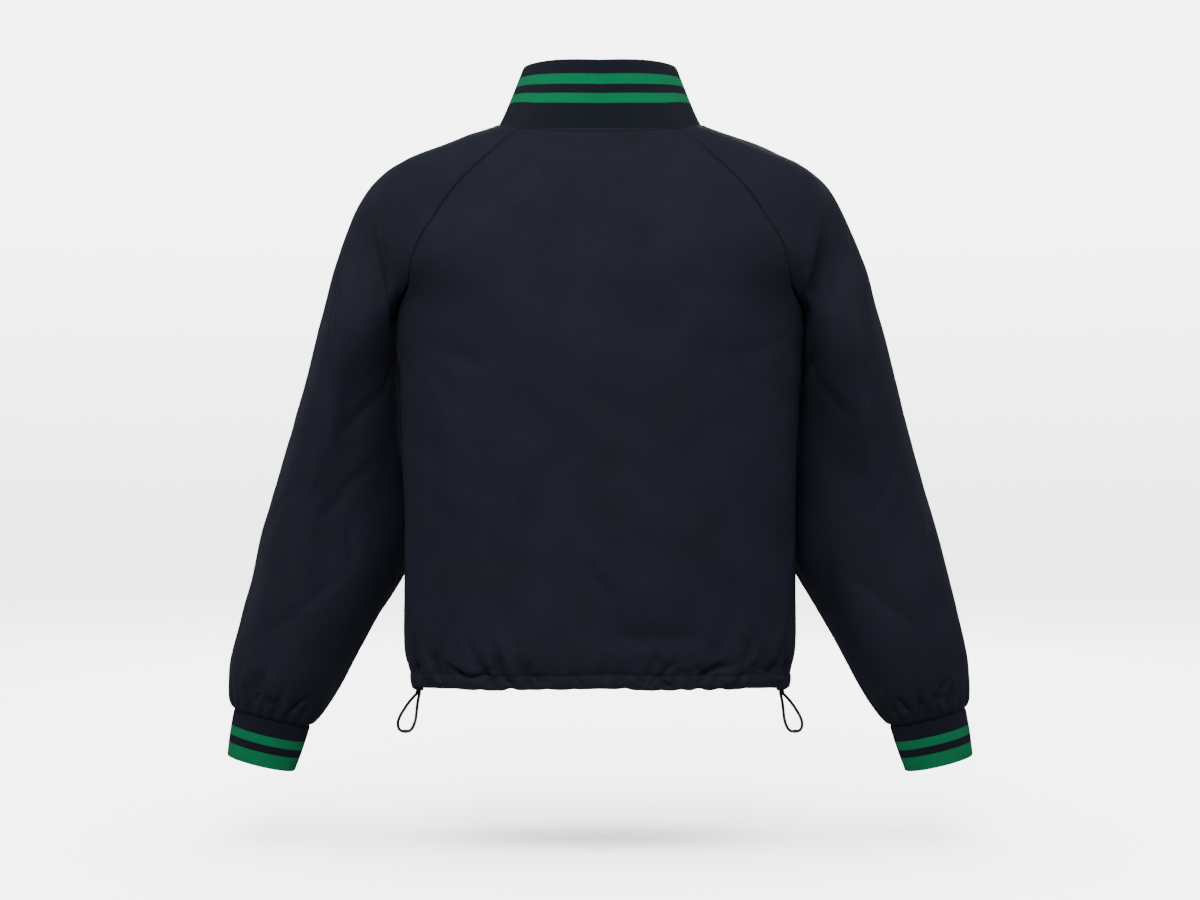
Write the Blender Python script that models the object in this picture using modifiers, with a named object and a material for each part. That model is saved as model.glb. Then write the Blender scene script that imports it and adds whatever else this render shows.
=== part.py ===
"""A quarter-zip pullover in woven shell cloth with a rib collar and cuffs, filled out as if worn.

Metres, +Z up. The back of the garment faces +Y, the front -Y, and the wearer's left is +X.
The origin is the middle of the neck base, at the height of the collar seam.
Every cloth piece is an open surface, worked out from the tables below, with a wall turned inwards.
"""

import math

import bmesh
import bpy
import numpy as np
from mathutils import Matrix, Vector

# ---------------------------------------------------------------- driving sizes
SHELL_WALL = 0.0015
RIB_WALL = 0.0026
TAPE_WALL = 0.0010
SEAM_GAP = 0.00034
UNDERARM_DOWN = 0.215
UNDERARM_EASE = 0.0010
SWING_FROM_V = 0.80
RING_END_FROM_V = 0.55
STEEPEST_NORMAL = 0.35
STEEPEST_DROP = 0.9
FOLD_FADE_SHARE = 0.5
START_HANDLE_SHARE = 0.52
END_HANDLE_SHARE = 0.56
RING_HANDLE_SHARE = 0.75
EDGE_CALM_DEG = 25.0
PUCKERS_FROM_V = 1.5
PUCKER_RISE = 0.012
HEM_DOWN_AT_CENTRE = 0.5995
HEM_DOWN_AT_SIDE = 0.6085
ROW_BEND = {"back": 2.6, "front": 1.7}
SIDE_CROWDING = 0.09
HEM_SAMPLES = 91
PANEL_COLUMNS = 9
PANEL_EDGE_SHARE = 0.018
FOLD_TAPER = 0.4
FOLD_OVERRUN = 0.15
EDGE_CALM_SHARE = 0.06
HEM_EDGE_SHARE = 0.35
PUFF_SHARE = 0.28
PUFF_SPREAD = 6.0
PUCKER_PUFF_SHARE = 0.25
CASING_HEIGHT = 0.0140
COLLAR_TOP_HALF_WIDTH = 0.0850
COLLAR_TOP_HALF_DEPTH = 0.0845
COLLAR_TOP_FORWARD = 0.0015
COLLAR_HOLLOW = 0.0016
NECK_SAMPLES = 60
NECK_FRONT_SAMPLES = 40
CUFF_LENGTH = 0.0520
CUFF_START_HALF_WIDTH = 0.0430
CUFF_START_HALF_DEPTH = 0.0350
CUFF_END_HALF_WIDTH = 0.0384
CUFF_END_HALF_DEPTH = 0.0310
CUFF_SWELL = 0.018
ZIP_SLOT_HALF_WIDTH = 0.0045
ZIP_SLOT_SHARE = 0.035
ZIP_BOTTOM_V = 1.08
CHAIN_HALF_WIDTH = 0.0027
CHAIN_THICKNESS = 0.0022
CHAIN_DEPTH = 0.0012
TAPE_WIDTH = 0.0120
TAPE_CLEARANCE = 0.0002
STOP_SIZE = (0.0056, 0.0014, 0.0026)
SLIDER_SIZE = (0.0082, 0.0018, 0.0105)
SLIDER_AT_COLLAR_SHARE = 0.80
MOULDED_ROUNDING = 0.0004
BRIDGE_SIZE = (0.0015, 0.0040, 0.0062)
BRIDGE_BAR = 0.0013
BRIDGE_ROOT = 0.0006
BRIDGE_CORNER = 0.0008
PULL_SIZE = (0.0062, 0.0012, 0.0240)
PULL_CORNER = 0.0011
PULL_BAR = 0.0013
PULL_HOLE = (0.0034, 0.0039)
PULL_HOLE_CORNER = 0.0005
PULL_AXIS_ABOVE_SLIDER = 0.0014
LOCK_SIZE = (0.0134, 0.0066, 0.0048)
LOCK_AT = (0.1990, 0.0010, -0.6134)
LOCK_TILT_DEG = -13.0
LOCK_SEGMENTS = 14
LOCK_RINGS = 7
CORD_DIAMETER = 0.0022
CORD_Y = 0.0010
CORD_STEP = 2.2 * CORD_DIAMETER
CURVE_SAMPLES = 12
BEAD_DIAMETER = 0.0044
BEAD_GAP = 2 * SEAM_GAP
BEAD_ROUNDING = 0.0006
BEAD_SEGMENTS = 12


class Table:
    """Rows with named columns. A column is read at any station by a monotone cubic spline."""

    def __init__(self, names, rows):
        self.names = names
        self.rows = np.array(rows, float)

    def at(self, name, station):
        """The named column's value at a station, or at each of several."""
        where = self.rows[:, 0]
        value = self.rows[:, self.names.index(name)]
        step = np.diff(where)
        slope = np.diff(value) / step
        tangent = np.zeros(len(where))
        same_sign = slope[:-1] * slope[1:] > 0
        weight_a = 2 * step[1:] + step[:-1]
        weight_b = step[1:] + 2 * step[:-1]
        left = np.where(same_sign, slope[:-1], 1.0)
        right = np.where(same_sign, slope[1:], 1.0)
        mean = (weight_a + weight_b) / (weight_a / left + weight_b / right)
        tangent[1:-1] = np.where(same_sign, mean, 0.0)
        tangent[0] = slope[0]
        tangent[-1] = slope[-1]
        station = np.clip(np.asarray(station, float), where[0], where[-1])
        k = np.clip(np.searchsorted(where, station, side="right") - 1, 0, len(step) - 1)
        t = (station - where[k]) / step[k]
        return (
            (1 + 2 * t) * (1 - t) ** 2 * value[k]
            + t * (1 - t) ** 2 * step[k] * tangent[k]
            + t * t * (3 - 2 * t) * value[k + 1]
            + t * t * (t - 1) * step[k] * tangent[k + 1]
        )


# The level sections of the body, at the depth below the neck base. Above the underarm
# they run out to the shoulder's outline, and from there on round the torso alone.
BODY = Table(
    ("down", "half_width", "back", "front", "power"),
    [
        (-0.0040, 0.104, 0.0900, 0.0700, 2.10),
        (0.0000, 0.112, 0.0915, 0.0760, 2.10),
        (0.0060, 0.133, 0.0926, 0.0820, 2.10),
        (0.0132, 0.154, 0.0940, 0.0860, 2.12),
        (0.0253, 0.192, 0.0975, 0.0895, 2.18),
        (0.0440, 0.231, 0.1022, 0.0925, 2.25),
        (0.0650, 0.253, 0.1070, 0.0965, 2.32),
        (0.0935, 0.269, 0.1120, 0.1040, 2.42),
        (0.1250, 0.283, 0.1158, 0.1120, 2.52),
        (0.1400, 0.277, 0.1172, 0.1150, 2.55),
        (0.1550, 0.263, 0.1184, 0.1180, 2.55),
        (0.1700, 0.243, 0.1194, 0.1205, 2.55),
        (0.1820, 0.230, 0.1200, 0.1225, 2.55),
        (0.1920, 0.2245, 0.1206, 0.1240, 2.55),
        (0.2050, 0.2220, 0.1212, 0.1250, 2.55),
        (0.2200, 0.2208, 0.1218, 0.1260, 2.55),
        (0.2740, 0.2180, 0.1226, 0.1275, 2.55),
        (0.3500, 0.2150, 0.1222, 0.1275, 2.55),
        (0.4280, 0.2132, 0.1212, 0.1262, 2.52),
        (0.4900, 0.2138, 0.1210, 0.1255, 2.50),
        (0.5500, 0.2142, 0.1212, 0.1250, 2.48),
        (0.5750, 0.2125, 0.1195, 0.1230, 2.48),
        (0.5900, 0.2075, 0.1140, 0.1175, 2.48),
        (0.6050, 0.2060, 0.1125, 0.1160, 2.48),
    ],
)

# The raglan seams: how far round the section, in degrees from the side, at each depth.
BACK_SEAM = Table(
    ("v", "down", "around"),
    [
        (0.00, 0.0078, 44.5),
        (0.06, 0.0130, 41.0),
        (0.22, 0.0395, 36.6),
        (0.36, 0.0630, 32.6),
        (0.50, 0.0874, 30.0),
        (0.60, 0.1086, 28.6),
        (0.70, 0.1330, 26.6),
        (0.80, 0.1571, 24.3),
        (0.87, 0.1779, 20.3),
        (0.92, 0.1897, 15.5),
        (0.96, 0.2030, 8.5),
        (1.00, 0.2150, 0.0),
    ],
)
FRONT_SEAM = Table(
    ("v", "down", "around"),
    [
        (0.00, 0.0310, 50.5),
        (0.10, 0.0400, 45.0),
        (0.25, 0.0600, 38.0),
        (0.40, 0.0830, 33.0),
        (0.55, 0.1080, 29.5),
        (0.70, 0.1360, 26.5),
        (0.80, 0.1580, 24.0),
        (0.87, 0.1770, 20.0),
        (0.93, 0.1920, 13.0),
        (1.00, 0.2150, 0.0),
    ],
)
# The centre lines of the back and front panels, at the same stations as the seams.
CENTRE = Table(
    ("v", "back_down", "front_down"),
    [
        (0.00, 0.0107, 0.0650),
        (0.25, 0.0480, 0.0930),
        (0.50, 0.0950, 0.1230),
        (0.75, 0.1500, 0.1650),
        (1.00, 0.2150, 0.2150),
    ],
)

# The sleeve. From the neck (v = 0) to the underarm (v = 1) each row is an arc from the back
# raglan seam over the outer line to the front one. From there to the cuff (v = 2) it is a ring,
# whose inner side runs along the torso: "lean" is how far it leaves the inner point sideways.
SLEEVE = Table(
    ("v", "out_x", "out_y", "out_z", "in_x", "in_y", "in_z", "back", "front", "lean"),
    [
        (0.00, 0.1115, 0.000, 0.0014, 0.2222, 0.000, -0.2152, 0.0300, 0.0340, 0.00),
        (0.10, 0.1410, -0.001, -0.0085, 0.2222, 0.000, -0.2152, 0.0310, 0.0350, 0.00),
        (0.22, 0.1850, -0.003, -0.0235, 0.2222, 0.000, -0.2152, 0.0340, 0.0370, 0.00),
        (0.36, 0.2240, -0.005, -0.0405, 0.2222, 0.000, -0.2152, 0.0390, 0.0410, 0.00),
        (0.50, 0.2510, -0.007, -0.0640, 0.2222, 0.000, -0.2152, 0.0440, 0.0450, 0.00),
        (0.60, 0.2660, -0.009, -0.0900, 0.2222, 0.000, -0.2152, 0.0475, 0.0490, 0.00),
        (0.70, 0.2780, -0.011, -0.1170, 0.2222, 0.000, -0.2152, 0.0515, 0.0545, 0.00),
        (0.80, 0.2875, -0.013, -0.1420, 0.2222, 0.000, -0.2152, 0.0560, 0.0610, 0.00),
        (0.90, 0.2955, -0.014, -0.1660, 0.2222, 0.000, -0.2152, 0.0610, 0.0700, 0.00),
        (1.00, 0.3025, -0.015, -0.1900, 0.2222, 0.000, -0.2152, 0.0660, 0.0780, 0.00),
        (1.06, 0.3095, -0.019, -0.2180, 0.2208, -0.014, -0.2420, 0.0720, 0.0790, 0.10),
        (1.15, 0.3190, -0.025, -0.2580, 0.2165, -0.034, -0.2830, 0.0770, 0.0780, 0.22),
        (1.25, 0.3300, -0.030, -0.2980, 0.2132, -0.044, -0.3270, 0.0790, 0.0760, 0.26),
        (1.40, 0.3500, -0.031, -0.3650, 0.2088, -0.050, -0.3980, 0.0770, 0.0730, 0.27),
        (1.52, 0.3685, -0.031, -0.4250, 0.2100, -0.049, -0.4600, 0.0720, 0.0690, 0.24),
        (1.65, 0.3855, -0.030, -0.4940, 0.2420, -0.036, -0.5270, 0.0660, 0.0640, 0.08),
        (1.77, 0.3985, -0.028, -0.5470, 0.2690, -0.029, -0.5790, 0.0590, 0.0580, 0.02),
        (1.88, 0.4080, -0.026, -0.5910, 0.2870, -0.026, -0.6140, 0.0525, 0.0515, 0.00),
        (1.95, 0.4090, -0.025, -0.6180, 0.3035, -0.025, -0.6390, 0.0460, 0.0450, 0.00),
        (2.00, 0.4045, -0.025, -0.6330, 0.3175, -0.025, -0.6545, 0.0380, 0.0370, 0.00),
    ],
)
# The fold behind the armhole: the cloth beside the seam rounds over, and the sleeve comes out
# behind it. "at" is where the fold lies along each arc, and a column of the surface follows it.
ARMHOLE_FOLD = Table(
    ("v", "at", "depth"),
    [
        (0.00, 0.40, 0.0000),
        (0.24, 0.48, 0.0000),
        (0.44, 0.66, 0.0006),
        (0.54, 0.64, 0.0050),
        (0.63, 0.47, 0.0110),
        (0.72, 0.31, 0.0165),
        (0.80, 0.20, 0.0195),
        (0.87, 0.15, 0.0180),
        (0.93, 0.13, 0.0130),
        (1.00, 0.12, 0.0050),
        (1.10, 0.16, 0.0000),
        (1.40, 0.34, 0.0000),
    ],
)
FOLD_COLUMN = 0.34
FOLD_REACH = 0.09
FRONT_FOLD_SHARE = 0.75

# Soft folds of the sleeves, along each from one station and turn to another. The turn is
# counted in degrees from the outer line over the back.
SLEEVE_FOLD_COLUMNS = ("side", "from_v", "from_turn", "to_v", "to_turn", "half_turn", "depth")
SLEEVE_FOLDS = [
    ("left", 0.75, 40.0, 1.72, 62.0, 22.0, -0.0040),
    ("left", 1.10, 94.0, 1.60, 104.0, 20.0, 0.0034),
    ("left", 1.15, 250.0, 1.70, 268.0, 22.0, 0.0036),
    ("left", 1.52, 24.0, 1.86, 34.0, 18.0, 0.0026),
    ("right", 0.80, 36.0, 1.45, 74.0, 22.0, -0.0036),
    ("right", 1.48, 38.0, 1.88, 30.0, 20.0, -0.0036),
    ("right", 1.30, 112.0, 1.72, 96.0, 20.0, 0.0032),
    ("right", 1.15, 262.0, 1.74, 246.0, 22.0, 0.0036),
]

# The collar's top edge round from the centre back (0) to the centre front (1).
COLLAR_TOP = Table(
    ("round", "height", "angle"),
    [
        (0.00, 0.0610, 0.0),
        (0.25, 0.0636, 44.0),
        (0.42, 0.0640, 76.0),
        (0.55, 0.0570, 100.0),
        (0.75, 0.0330, 136.0),
        (0.90, 0.0130, 163.0),
        (1.00, 0.0075, 180.0),
    ],
)

# Soft folds of the body, each a trough along a line from its start to its end.
# Places are across (x) and down from the neck base, on the panel named by side.
FOLD_COLUMNS = ("side", "from_x", "from_down", "to_x", "to_down", "half_width", "depth")
BODY_FOLDS = [
    ("back", 0.180, 0.300, 0.176, 0.560, 0.016, 0.0042),
    ("back", 0.070, 0.400, 0.094, 0.560, 0.015, 0.0030),
    ("back", -0.075, 0.040, 0.075, 0.040, 0.010, -0.0012),
    ("back", 0.016, 0.470, -0.014, 0.512, 0.007, 0.0022),
    ("back", -0.128, 0.350, -0.176, 0.530, 0.012, -0.0030),
    ("back", -0.010, 0.548, -0.106, 0.548, 0.012, 0.0030),
    ("front", 0.150, 0.270, 0.170, 0.520, 0.016, 0.0038),
    ("front", -0.156, 0.290, -0.166, 0.540, 0.015, 0.0034),
    ("front", 0.060, 0.400, 0.085, 0.560, 0.014, 0.0028),
    ("front", -0.045, 0.430, -0.070, 0.560, 0.013, 0.0026),
]

# Gathers over the cord tunnel, each a crease that runs up from the hem and fades.
GATHER_COLUMNS = ("along", "lean", "half_width", "reach", "depth")
BACK_GATHERS = [
    (0.240, -0.10, 0.0063, 0.033, 0.0057),
    (0.215, -0.25, 0.0063, 0.040, 0.0070),
    (0.184, -0.50, 0.0063, 0.066, 0.0084),
    (0.164, -0.20, 0.0057, 0.037, 0.0068),
    (0.143, 0.15, 0.0052, 0.029, 0.0057),
    (0.122, 0.00, 0.0063, 0.033, 0.0062),
    (0.111, 0.40, 0.0057, 0.046, 0.0092),
    (0.092, 0.10, 0.0057, 0.024, 0.0054),
    (0.073, 0.25, 0.0063, 0.037, 0.0070),
    (0.050, -0.10, 0.0063, 0.026, 0.0046),
    (0.024, 0.10, 0.0065, 0.024, 0.0043),
    (-0.002, -0.20, 0.0063, 0.029, 0.0054),
    (-0.021, 0.10, 0.0060, 0.026, 0.0051),
    (-0.044, -0.35, 0.0060, 0.035, 0.0065),
    (-0.062, -0.10, 0.0060, 0.029, 0.0059),
    (-0.082, 0.20, 0.0057, 0.040, 0.0070),
    (-0.104, -0.20, 0.0063, 0.031, 0.0065),
    (-0.122, 0.10, 0.0057, 0.033, 0.0068),
    (-0.143, -0.30, 0.0057, 0.048, 0.0081),
    (-0.167, 0.30, 0.0057, 0.040, 0.0076),
    (-0.190, 0.55, 0.0060, 0.064, 0.0084),
    (-0.216, 0.25, 0.0063, 0.035, 0.0068),
    (-0.242, 0.10, 0.0063, 0.031, 0.0057),
]
FRONT_GATHERS = [
    (0.240, -0.10, 0.0063, 0.033, 0.0057),
    (0.212, -0.30, 0.0063, 0.037, 0.0068),
    (0.180, -0.40, 0.0063, 0.055, 0.0078),
    (0.150, 0.10, 0.0057, 0.031, 0.0062),
    (0.128, -0.20, 0.0060, 0.040, 0.0070),
    (0.104, 0.30, 0.0057, 0.033, 0.0065),
    (0.080, 0.00, 0.0063, 0.029, 0.0054),
    (0.054, 0.20, 0.0063, 0.033, 0.0057),
    (0.028, -0.15, 0.0063, 0.026, 0.0049),
    (0.002, 0.15, 0.0063, 0.031, 0.0054),
    (-0.026, -0.10, 0.0063, 0.026, 0.0051),
    (-0.052, 0.25, 0.0060, 0.037, 0.0062),
    (-0.078, -0.20, 0.0060, 0.031, 0.0059),
    (-0.101, 0.10, 0.0057, 0.035, 0.0068),
    (-0.126, -0.30, 0.0060, 0.044, 0.0073),
    (-0.149, 0.20, 0.0057, 0.033, 0.0065),
    (-0.178, 0.45, 0.0063, 0.059, 0.0081),
    (-0.210, 0.25, 0.0063, 0.037, 0.0068),
    (-0.240, 0.10, 0.0063, 0.031, 0.0057),
]
# Puckers above the cuff seam, by the angle round the sleeve from its outer line.
PUCKER_COLUMNS = ("angle", "half_angle", "reach", "depth")
CUFF_PUCKERS = [
    (4.0, 5.0, 0.020, 0.0030),
    (26.0, 6.0, 0.030, 0.0040),
    (44.0, 5.0, 0.018, 0.0032),
    (63.0, 6.0, 0.026, 0.0042),
    (80.0, 5.0, 0.018, 0.0034),
    (97.0, 6.0, 0.034, 0.0046),
    (116.0, 6.0, 0.022, 0.0040),
    (134.0, 5.0, 0.028, 0.0040),
    (152.0, 6.0, 0.020, 0.0034),
    (172.0, 6.0, 0.024, 0.0036),
    (194.0, 6.0, 0.020, 0.0034),
    (214.0, 6.0, 0.030, 0.0040),
    (235.0, 6.0, 0.022, 0.0036),
    (256.0, 6.0, 0.028, 0.0042),
    (276.0, 5.0, 0.020, 0.0034),
    (297.0, 6.0, 0.026, 0.0040),
    (319.0, 6.0, 0.020, 0.0032),
    (341.0, 6.0, 0.024, 0.0034),
]

# The left cord loop, across (x) and up (z): the outer strand from the lock down to the bead,
# and the inner one from the bead back up to the lock. The right loop mirrors it.
OUTER_STRAND = [
    (0.2000, -0.6166),
    (0.2035, -0.6205),
    (0.2085, -0.6262),
    (0.2133, -0.6330),
    (0.2172, -0.6395),
    (0.2199, -0.6452),
    (0.2208, -0.6503),
    (0.2201, -0.6542),
    (0.2186, -0.6567),
    (0.2166, -0.6579),
]
INNER_STRAND = [
    (0.2100, -0.6583),
    (0.2075, -0.6574),
    (0.2051, -0.6550),
    (0.2031, -0.6508),
    (0.2013, -0.6447),
    (0.2004, -0.6375),
    (0.1996, -0.6300),
    (0.1985, -0.6230),
    (0.1972, -0.6171),
]

# Rows and columns of the surfaces, closer together where the cloth is gathered or turns.
# The panels and the sleeves share their stations along the raglan seams.
SEAM_STATIONS = np.array([0.0, 0.05, 0.14, 0.24, 0.34, 0.44, 0.54, 0.63, 0.72, 0.80, 0.87, 0.93, 0.97])
UPPER_STATIONS = np.concatenate([SEAM_STATIONS, [1.0, ZIP_BOTTOM_V, 1.22, 1.38, 1.54, 1.70]])
LOWER_STATIONS = 1.0 + np.array([0.82, 0.88, 0.923, 0.955, 0.978, 1.0])
HEM_SPLIT = 5
CUFF_SPLIT = 3
SLEEVE_STATIONS = np.concatenate([SEAM_STATIONS, [1.0, 1.06, 1.15, 1.26, 1.38, 1.50, 1.62, 1.74, 1.84]])
CUFF_STATIONS = np.array([1.90, 1.94, 1.968, 1.987, 2.0])
SLEEVE_COLUMNS = np.array([0.0, 0.02, 0.12, 0.22, 0.29, 0.34, 0.39, 0.46, 0.58, 0.72, 0.86, 1.0])
CUFF_COLUMNS = 29
CUFF_RISES = np.array([0.0, 0.5, 1.0])
COLLAR_COLUMNS = 25
COLLAR_RISES = np.array([0.0, 0.25, 0.6, 1.0])

SHELL_COLOUR = (0.0130, 0.0152, 0.0250, 1.0)
RIB_COLOUR = (0.0103, 0.0130, 0.0194, 1.0)
CORD_COLOUR = (0.0060, 0.0060, 0.0065, 1.0)
LOCK_COLOUR = (0.0180, 0.0194, 0.0180, 1.0)
ZIP_COLOUR = (0.0110, 0.0125, 0.0190, 1.0)


# ---------------------------------------------------------------- forms
def smoothstep(x):
    """0 below 0 and 1 above 1, with a smooth step between them."""
    x = np.clip(x, 0.0, 1.0)
    return x * x * (3 - 2 * x)


def body_point(side, around_deg, down):
    """A point of the body: on the level section at this depth, at an angle from the side."""
    angle = np.radians(np.clip(around_deg, 0.0, 90.0))
    width = BODY.at("half_width", down)
    depth = BODY.at(side, down)
    power = BODY.at("power", down)
    across = (np.cos(angle) / width) ** power
    along = (np.sin(angle) / depth) ** power
    radius = (across + along) ** (-1 / power)
    facing = 1.0 if side == "back" else -1.0
    return np.stack(
        [radius * np.cos(angle), facing * radius * np.sin(angle), -down * np.ones_like(radius)],
        axis=-1,
    )


def grid_normals(grid):
    """Unit normals of a grid of points, by the cross product of its two directions."""
    along = np.gradient(grid, axis=0)
    across = np.gradient(grid, axis=1)
    normal = np.cross(along, across)
    return normal / np.maximum(np.linalg.norm(normal, axis=-1, keepdims=True), 1e-12)


def fold_depth(side, x, down):
    """How deep the soft folds are at a place on a panel."""
    total = np.zeros_like(x)
    for row in BODY_FOLDS:
        fold = dict(zip(FOLD_COLUMNS, row))
        if fold["side"] != side:
            continue
        run_x = fold["to_x"] - fold["from_x"]
        run_down = fold["to_down"] - fold["from_down"]
        length = math.hypot(run_x, run_down)
        off_x = x - fold["from_x"]
        off_down = down - fold["from_down"]
        t = (off_x * run_x + off_down * run_down) / length**2
        aside = (off_x * run_down - off_down * run_x) / length
        start = smoothstep((t + FOLD_OVERRUN) / FOLD_TAPER)
        taper = start * smoothstep((1.0 + FOLD_OVERRUN - t) / FOLD_TAPER)
        total += fold["depth"] * taper * np.exp(-((aside / fold["half_width"]) ** 2))
    return total


def gather_depth(side, along, above_hem):
    """How deep the gathers over the cord tunnel are: creases with low puffs between them."""
    total = np.zeros_like(along)
    for row in BACK_GATHERS if side == "back" else FRONT_GATHERS:
        gather = dict(zip(GATHER_COLUMNS, row))
        aside = (along - gather["along"] - gather["lean"] * above_hem) / gather["half_width"]
        crease = np.exp(-(aside**2)) - PUFF_SHARE * np.exp(-(aside**2) / PUFF_SPREAD)
        total += gather["depth"] * np.exp(-((above_hem / gather["reach"]) ** 2)) * crease
    return total * (HEM_EDGE_SHARE + (1.0 - HEM_EDGE_SHARE) * smoothstep(above_hem / CASING_HEIGHT))


def panel_place(side, v, t):
    """Where the rows v and columns t of half a panel lie: angle round, depth, height over the hem."""
    v = v[:, None]
    t = t[None, :]
    seam = BACK_SEAM if side == "back" else FRONT_SEAM
    upper = np.minimum(v, 1.0)
    lower = np.clip(v - 1.0, 0.0, 1.0)
    edge_down = seam.at("down", upper) + (HEM_DOWN_AT_SIDE - UNDERARM_DOWN) * lower
    centre_down = CENTRE.at(side + "_down", upper) + (HEM_DOWN_AT_CENTRE - UNDERARM_DOWN) * lower
    rise = t ** ROW_BEND[side]
    down = centre_down + (edge_down - centre_down) * rise
    hem_down = HEM_DOWN_AT_CENTRE + (HEM_DOWN_AT_SIDE - HEM_DOWN_AT_CENTRE) * rise
    share = t - SIDE_CROWDING * np.sin(2 * math.pi * t) * lower
    around = 90.0 - (90.0 - seam.at("around", upper)) * share
    return around, down, hem_down - down


def panel_half(side, v, t):
    """Half a body panel: rows by station v, columns by t from the centre (0) to the edge (1)."""
    around, down, _ = panel_place(side, v, t)
    return body_point(side, around, down)


def mirrored_row(values, sign=1.0):
    """A row of half a panel turned into a whole one, the mirrored half first."""
    return np.concatenate([sign * values[..., :0:-1], values], axis=-1)


def panel_grid(side, v, t):
    """A whole body panel, from the wearer's right edge to the left one, with its folds."""
    half = panel_half(side, v, t)
    grid = np.concatenate([half[:, :0:-1] * [-1.0, 1.0, 1.0], half], axis=1)
    around, down, above_hem = panel_place(side, v, t)
    hem_angles = np.linspace(90.0, 0.0, HEM_SAMPLES)
    hem = body_point(side, hem_angles, np.full(HEM_SAMPLES, HEM_DOWN_AT_SIDE))
    hem_length = np.concatenate([[0.0], np.cumsum(np.linalg.norm(np.diff(hem, axis=0), axis=1))])
    along = mirrored_row(np.interp(90.0 - around, 90.0 - hem_angles, hem_length), -1.0)
    normal = grid_normals(grid)
    outward = 1.0 if side == "back" else -1.0
    normal *= np.sign(outward * normal[:, grid.shape[1] // 2, 1])[:, None, None]
    calm = smoothstep((1.0 - np.abs(mirrored_row(t))) / EDGE_CALM_SHARE)
    depth = fold_depth(side, grid[..., 0], mirrored_row(down)) * calm[None, :]
    depth += gather_depth(side, along, mirrored_row(above_hem))
    return grid - normal * depth[..., None]


def seam_frame(side, v):
    """The raglan seam at v: its point, and the body's unit normal there, facing out."""
    seam = BACK_SEAM if side == "back" else FRONT_SEAM
    upper = np.minimum(v, 1.0)
    down = seam.at("down", upper)
    around = seam.at("around", upper)
    here = body_point(side, around, down)
    round_way = body_point(side, around - 0.5, down) - body_point(side, around + 0.5, down)
    down_way = body_point(side, around, down + 0.001) - body_point(side, around, down - 0.001)
    normal = np.cross(round_way, down_way)
    normal /= np.linalg.norm(normal, axis=-1, keepdims=True)
    facing = 1.0 if side == "back" else -1.0
    normal *= np.sign(facing * normal[..., 1:2] + 1e-9)
    return here, normal


def sleeve_half(side, v, t):
    """Half the left sleeve: rows by station v, columns by t from the seam (0) to the outer line (1).

    Each row is a cubic arc: it leaves the seam along the body's surface, or beside the torso
    where the sleeve is a ring, and reaches the outer line squarely. The columns are shifted so
    that one follows the fold behind the armhole, which then drops the cloth beyond it.
    """
    facing = 1.0 if side == "back" else -1.0
    seam, normal = seam_frame(side, v)
    inner = np.stack([SLEEVE.at("in_x", v), SLEEVE.at("in_y", v), SLEEVE.at("in_z", v)], axis=-1)
    outer = np.stack([SLEEVE.at("out_x", v), SLEEVE.at("out_y", v), SLEEVE.at("out_z", v)], axis=-1)
    turn = smoothstep((v - SWING_FROM_V) / (1.0 - SWING_FROM_V))[:, None]
    seam = seam + np.array([UNDERARM_EASE, 0.0, 0.0]) * turn
    start = np.where((v < 1.0)[:, None], seam, inner)
    run = (outer - start) * np.array([1.0, 0.0, 1.0])
    reach = np.linalg.norm(run, axis=-1, keepdims=True)
    across = run / reach
    drop = (normal * across).sum(axis=-1) / np.maximum(np.abs(normal[:, 1]), STEEPEST_NORMAL)
    along_body = across.copy()
    along_body[:, 1] -= facing * np.minimum(drop, STEEPEST_DROP)
    along_body /= np.linalg.norm(along_body, axis=-1, keepdims=True)
    beside = np.array([0.0, facing, 0.0]) + facing * SLEEVE.at("lean", v)[:, None] * across
    leaving = along_body * np.cos(turn * math.pi / 2) + beside * np.sin(turn * math.pi / 2)
    depth = SLEEVE.at(side, v)[:, None]
    ring_handle = depth / RING_HANDLE_SHARE
    arc_handle = START_HANDLE_SHARE * reach
    start_handle = leaving * (arc_handle + (ring_handle - arc_handle) * turn)
    arc_end = END_HANDLE_SHARE * np.abs(start[:, 1:2] - outer[:, 1:2])
    into_ring = smoothstep((v - RING_END_FROM_V) / (1.0 - RING_END_FROM_V))[:, None]
    end_handle = np.array([0.0, facing, 0.0]) * (arc_end + (ring_handle - arc_end) * into_ring)
    p0 = start[:, None]
    p1 = (start + start_handle)[:, None]
    p2 = (outer + end_handle)[:, None]
    p3 = outer[:, None]
    fold_at = ARMHOLE_FOLD.at("at", v)[:, None]
    before = t[None, :] * fold_at / FOLD_COLUMN
    after = fold_at + (t[None, :] - FOLD_COLUMN) * (1.0 - fold_at) / (1.0 - FOLD_COLUMN)
    s = np.where(t[None, :] < FOLD_COLUMN, before, after)[..., None]
    grid = (1 - s) ** 3 * p0 + 3 * (1 - s) ** 2 * s * p1 + 3 * (1 - s) * s * s * p2 + s**3 * p3
    past = smoothstep((t - FOLD_COLUMN + FOLD_REACH) / (2 * FOLD_REACH))
    past *= smoothstep((1.0 - t) / FOLD_FADE_SHARE)
    strength = 1.0 if side == "back" else FRONT_FOLD_SHARE
    grid[..., 1] -= facing * strength * ARMHOLE_FOLD.at("depth", v)[:, None] * past
    return grid


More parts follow.
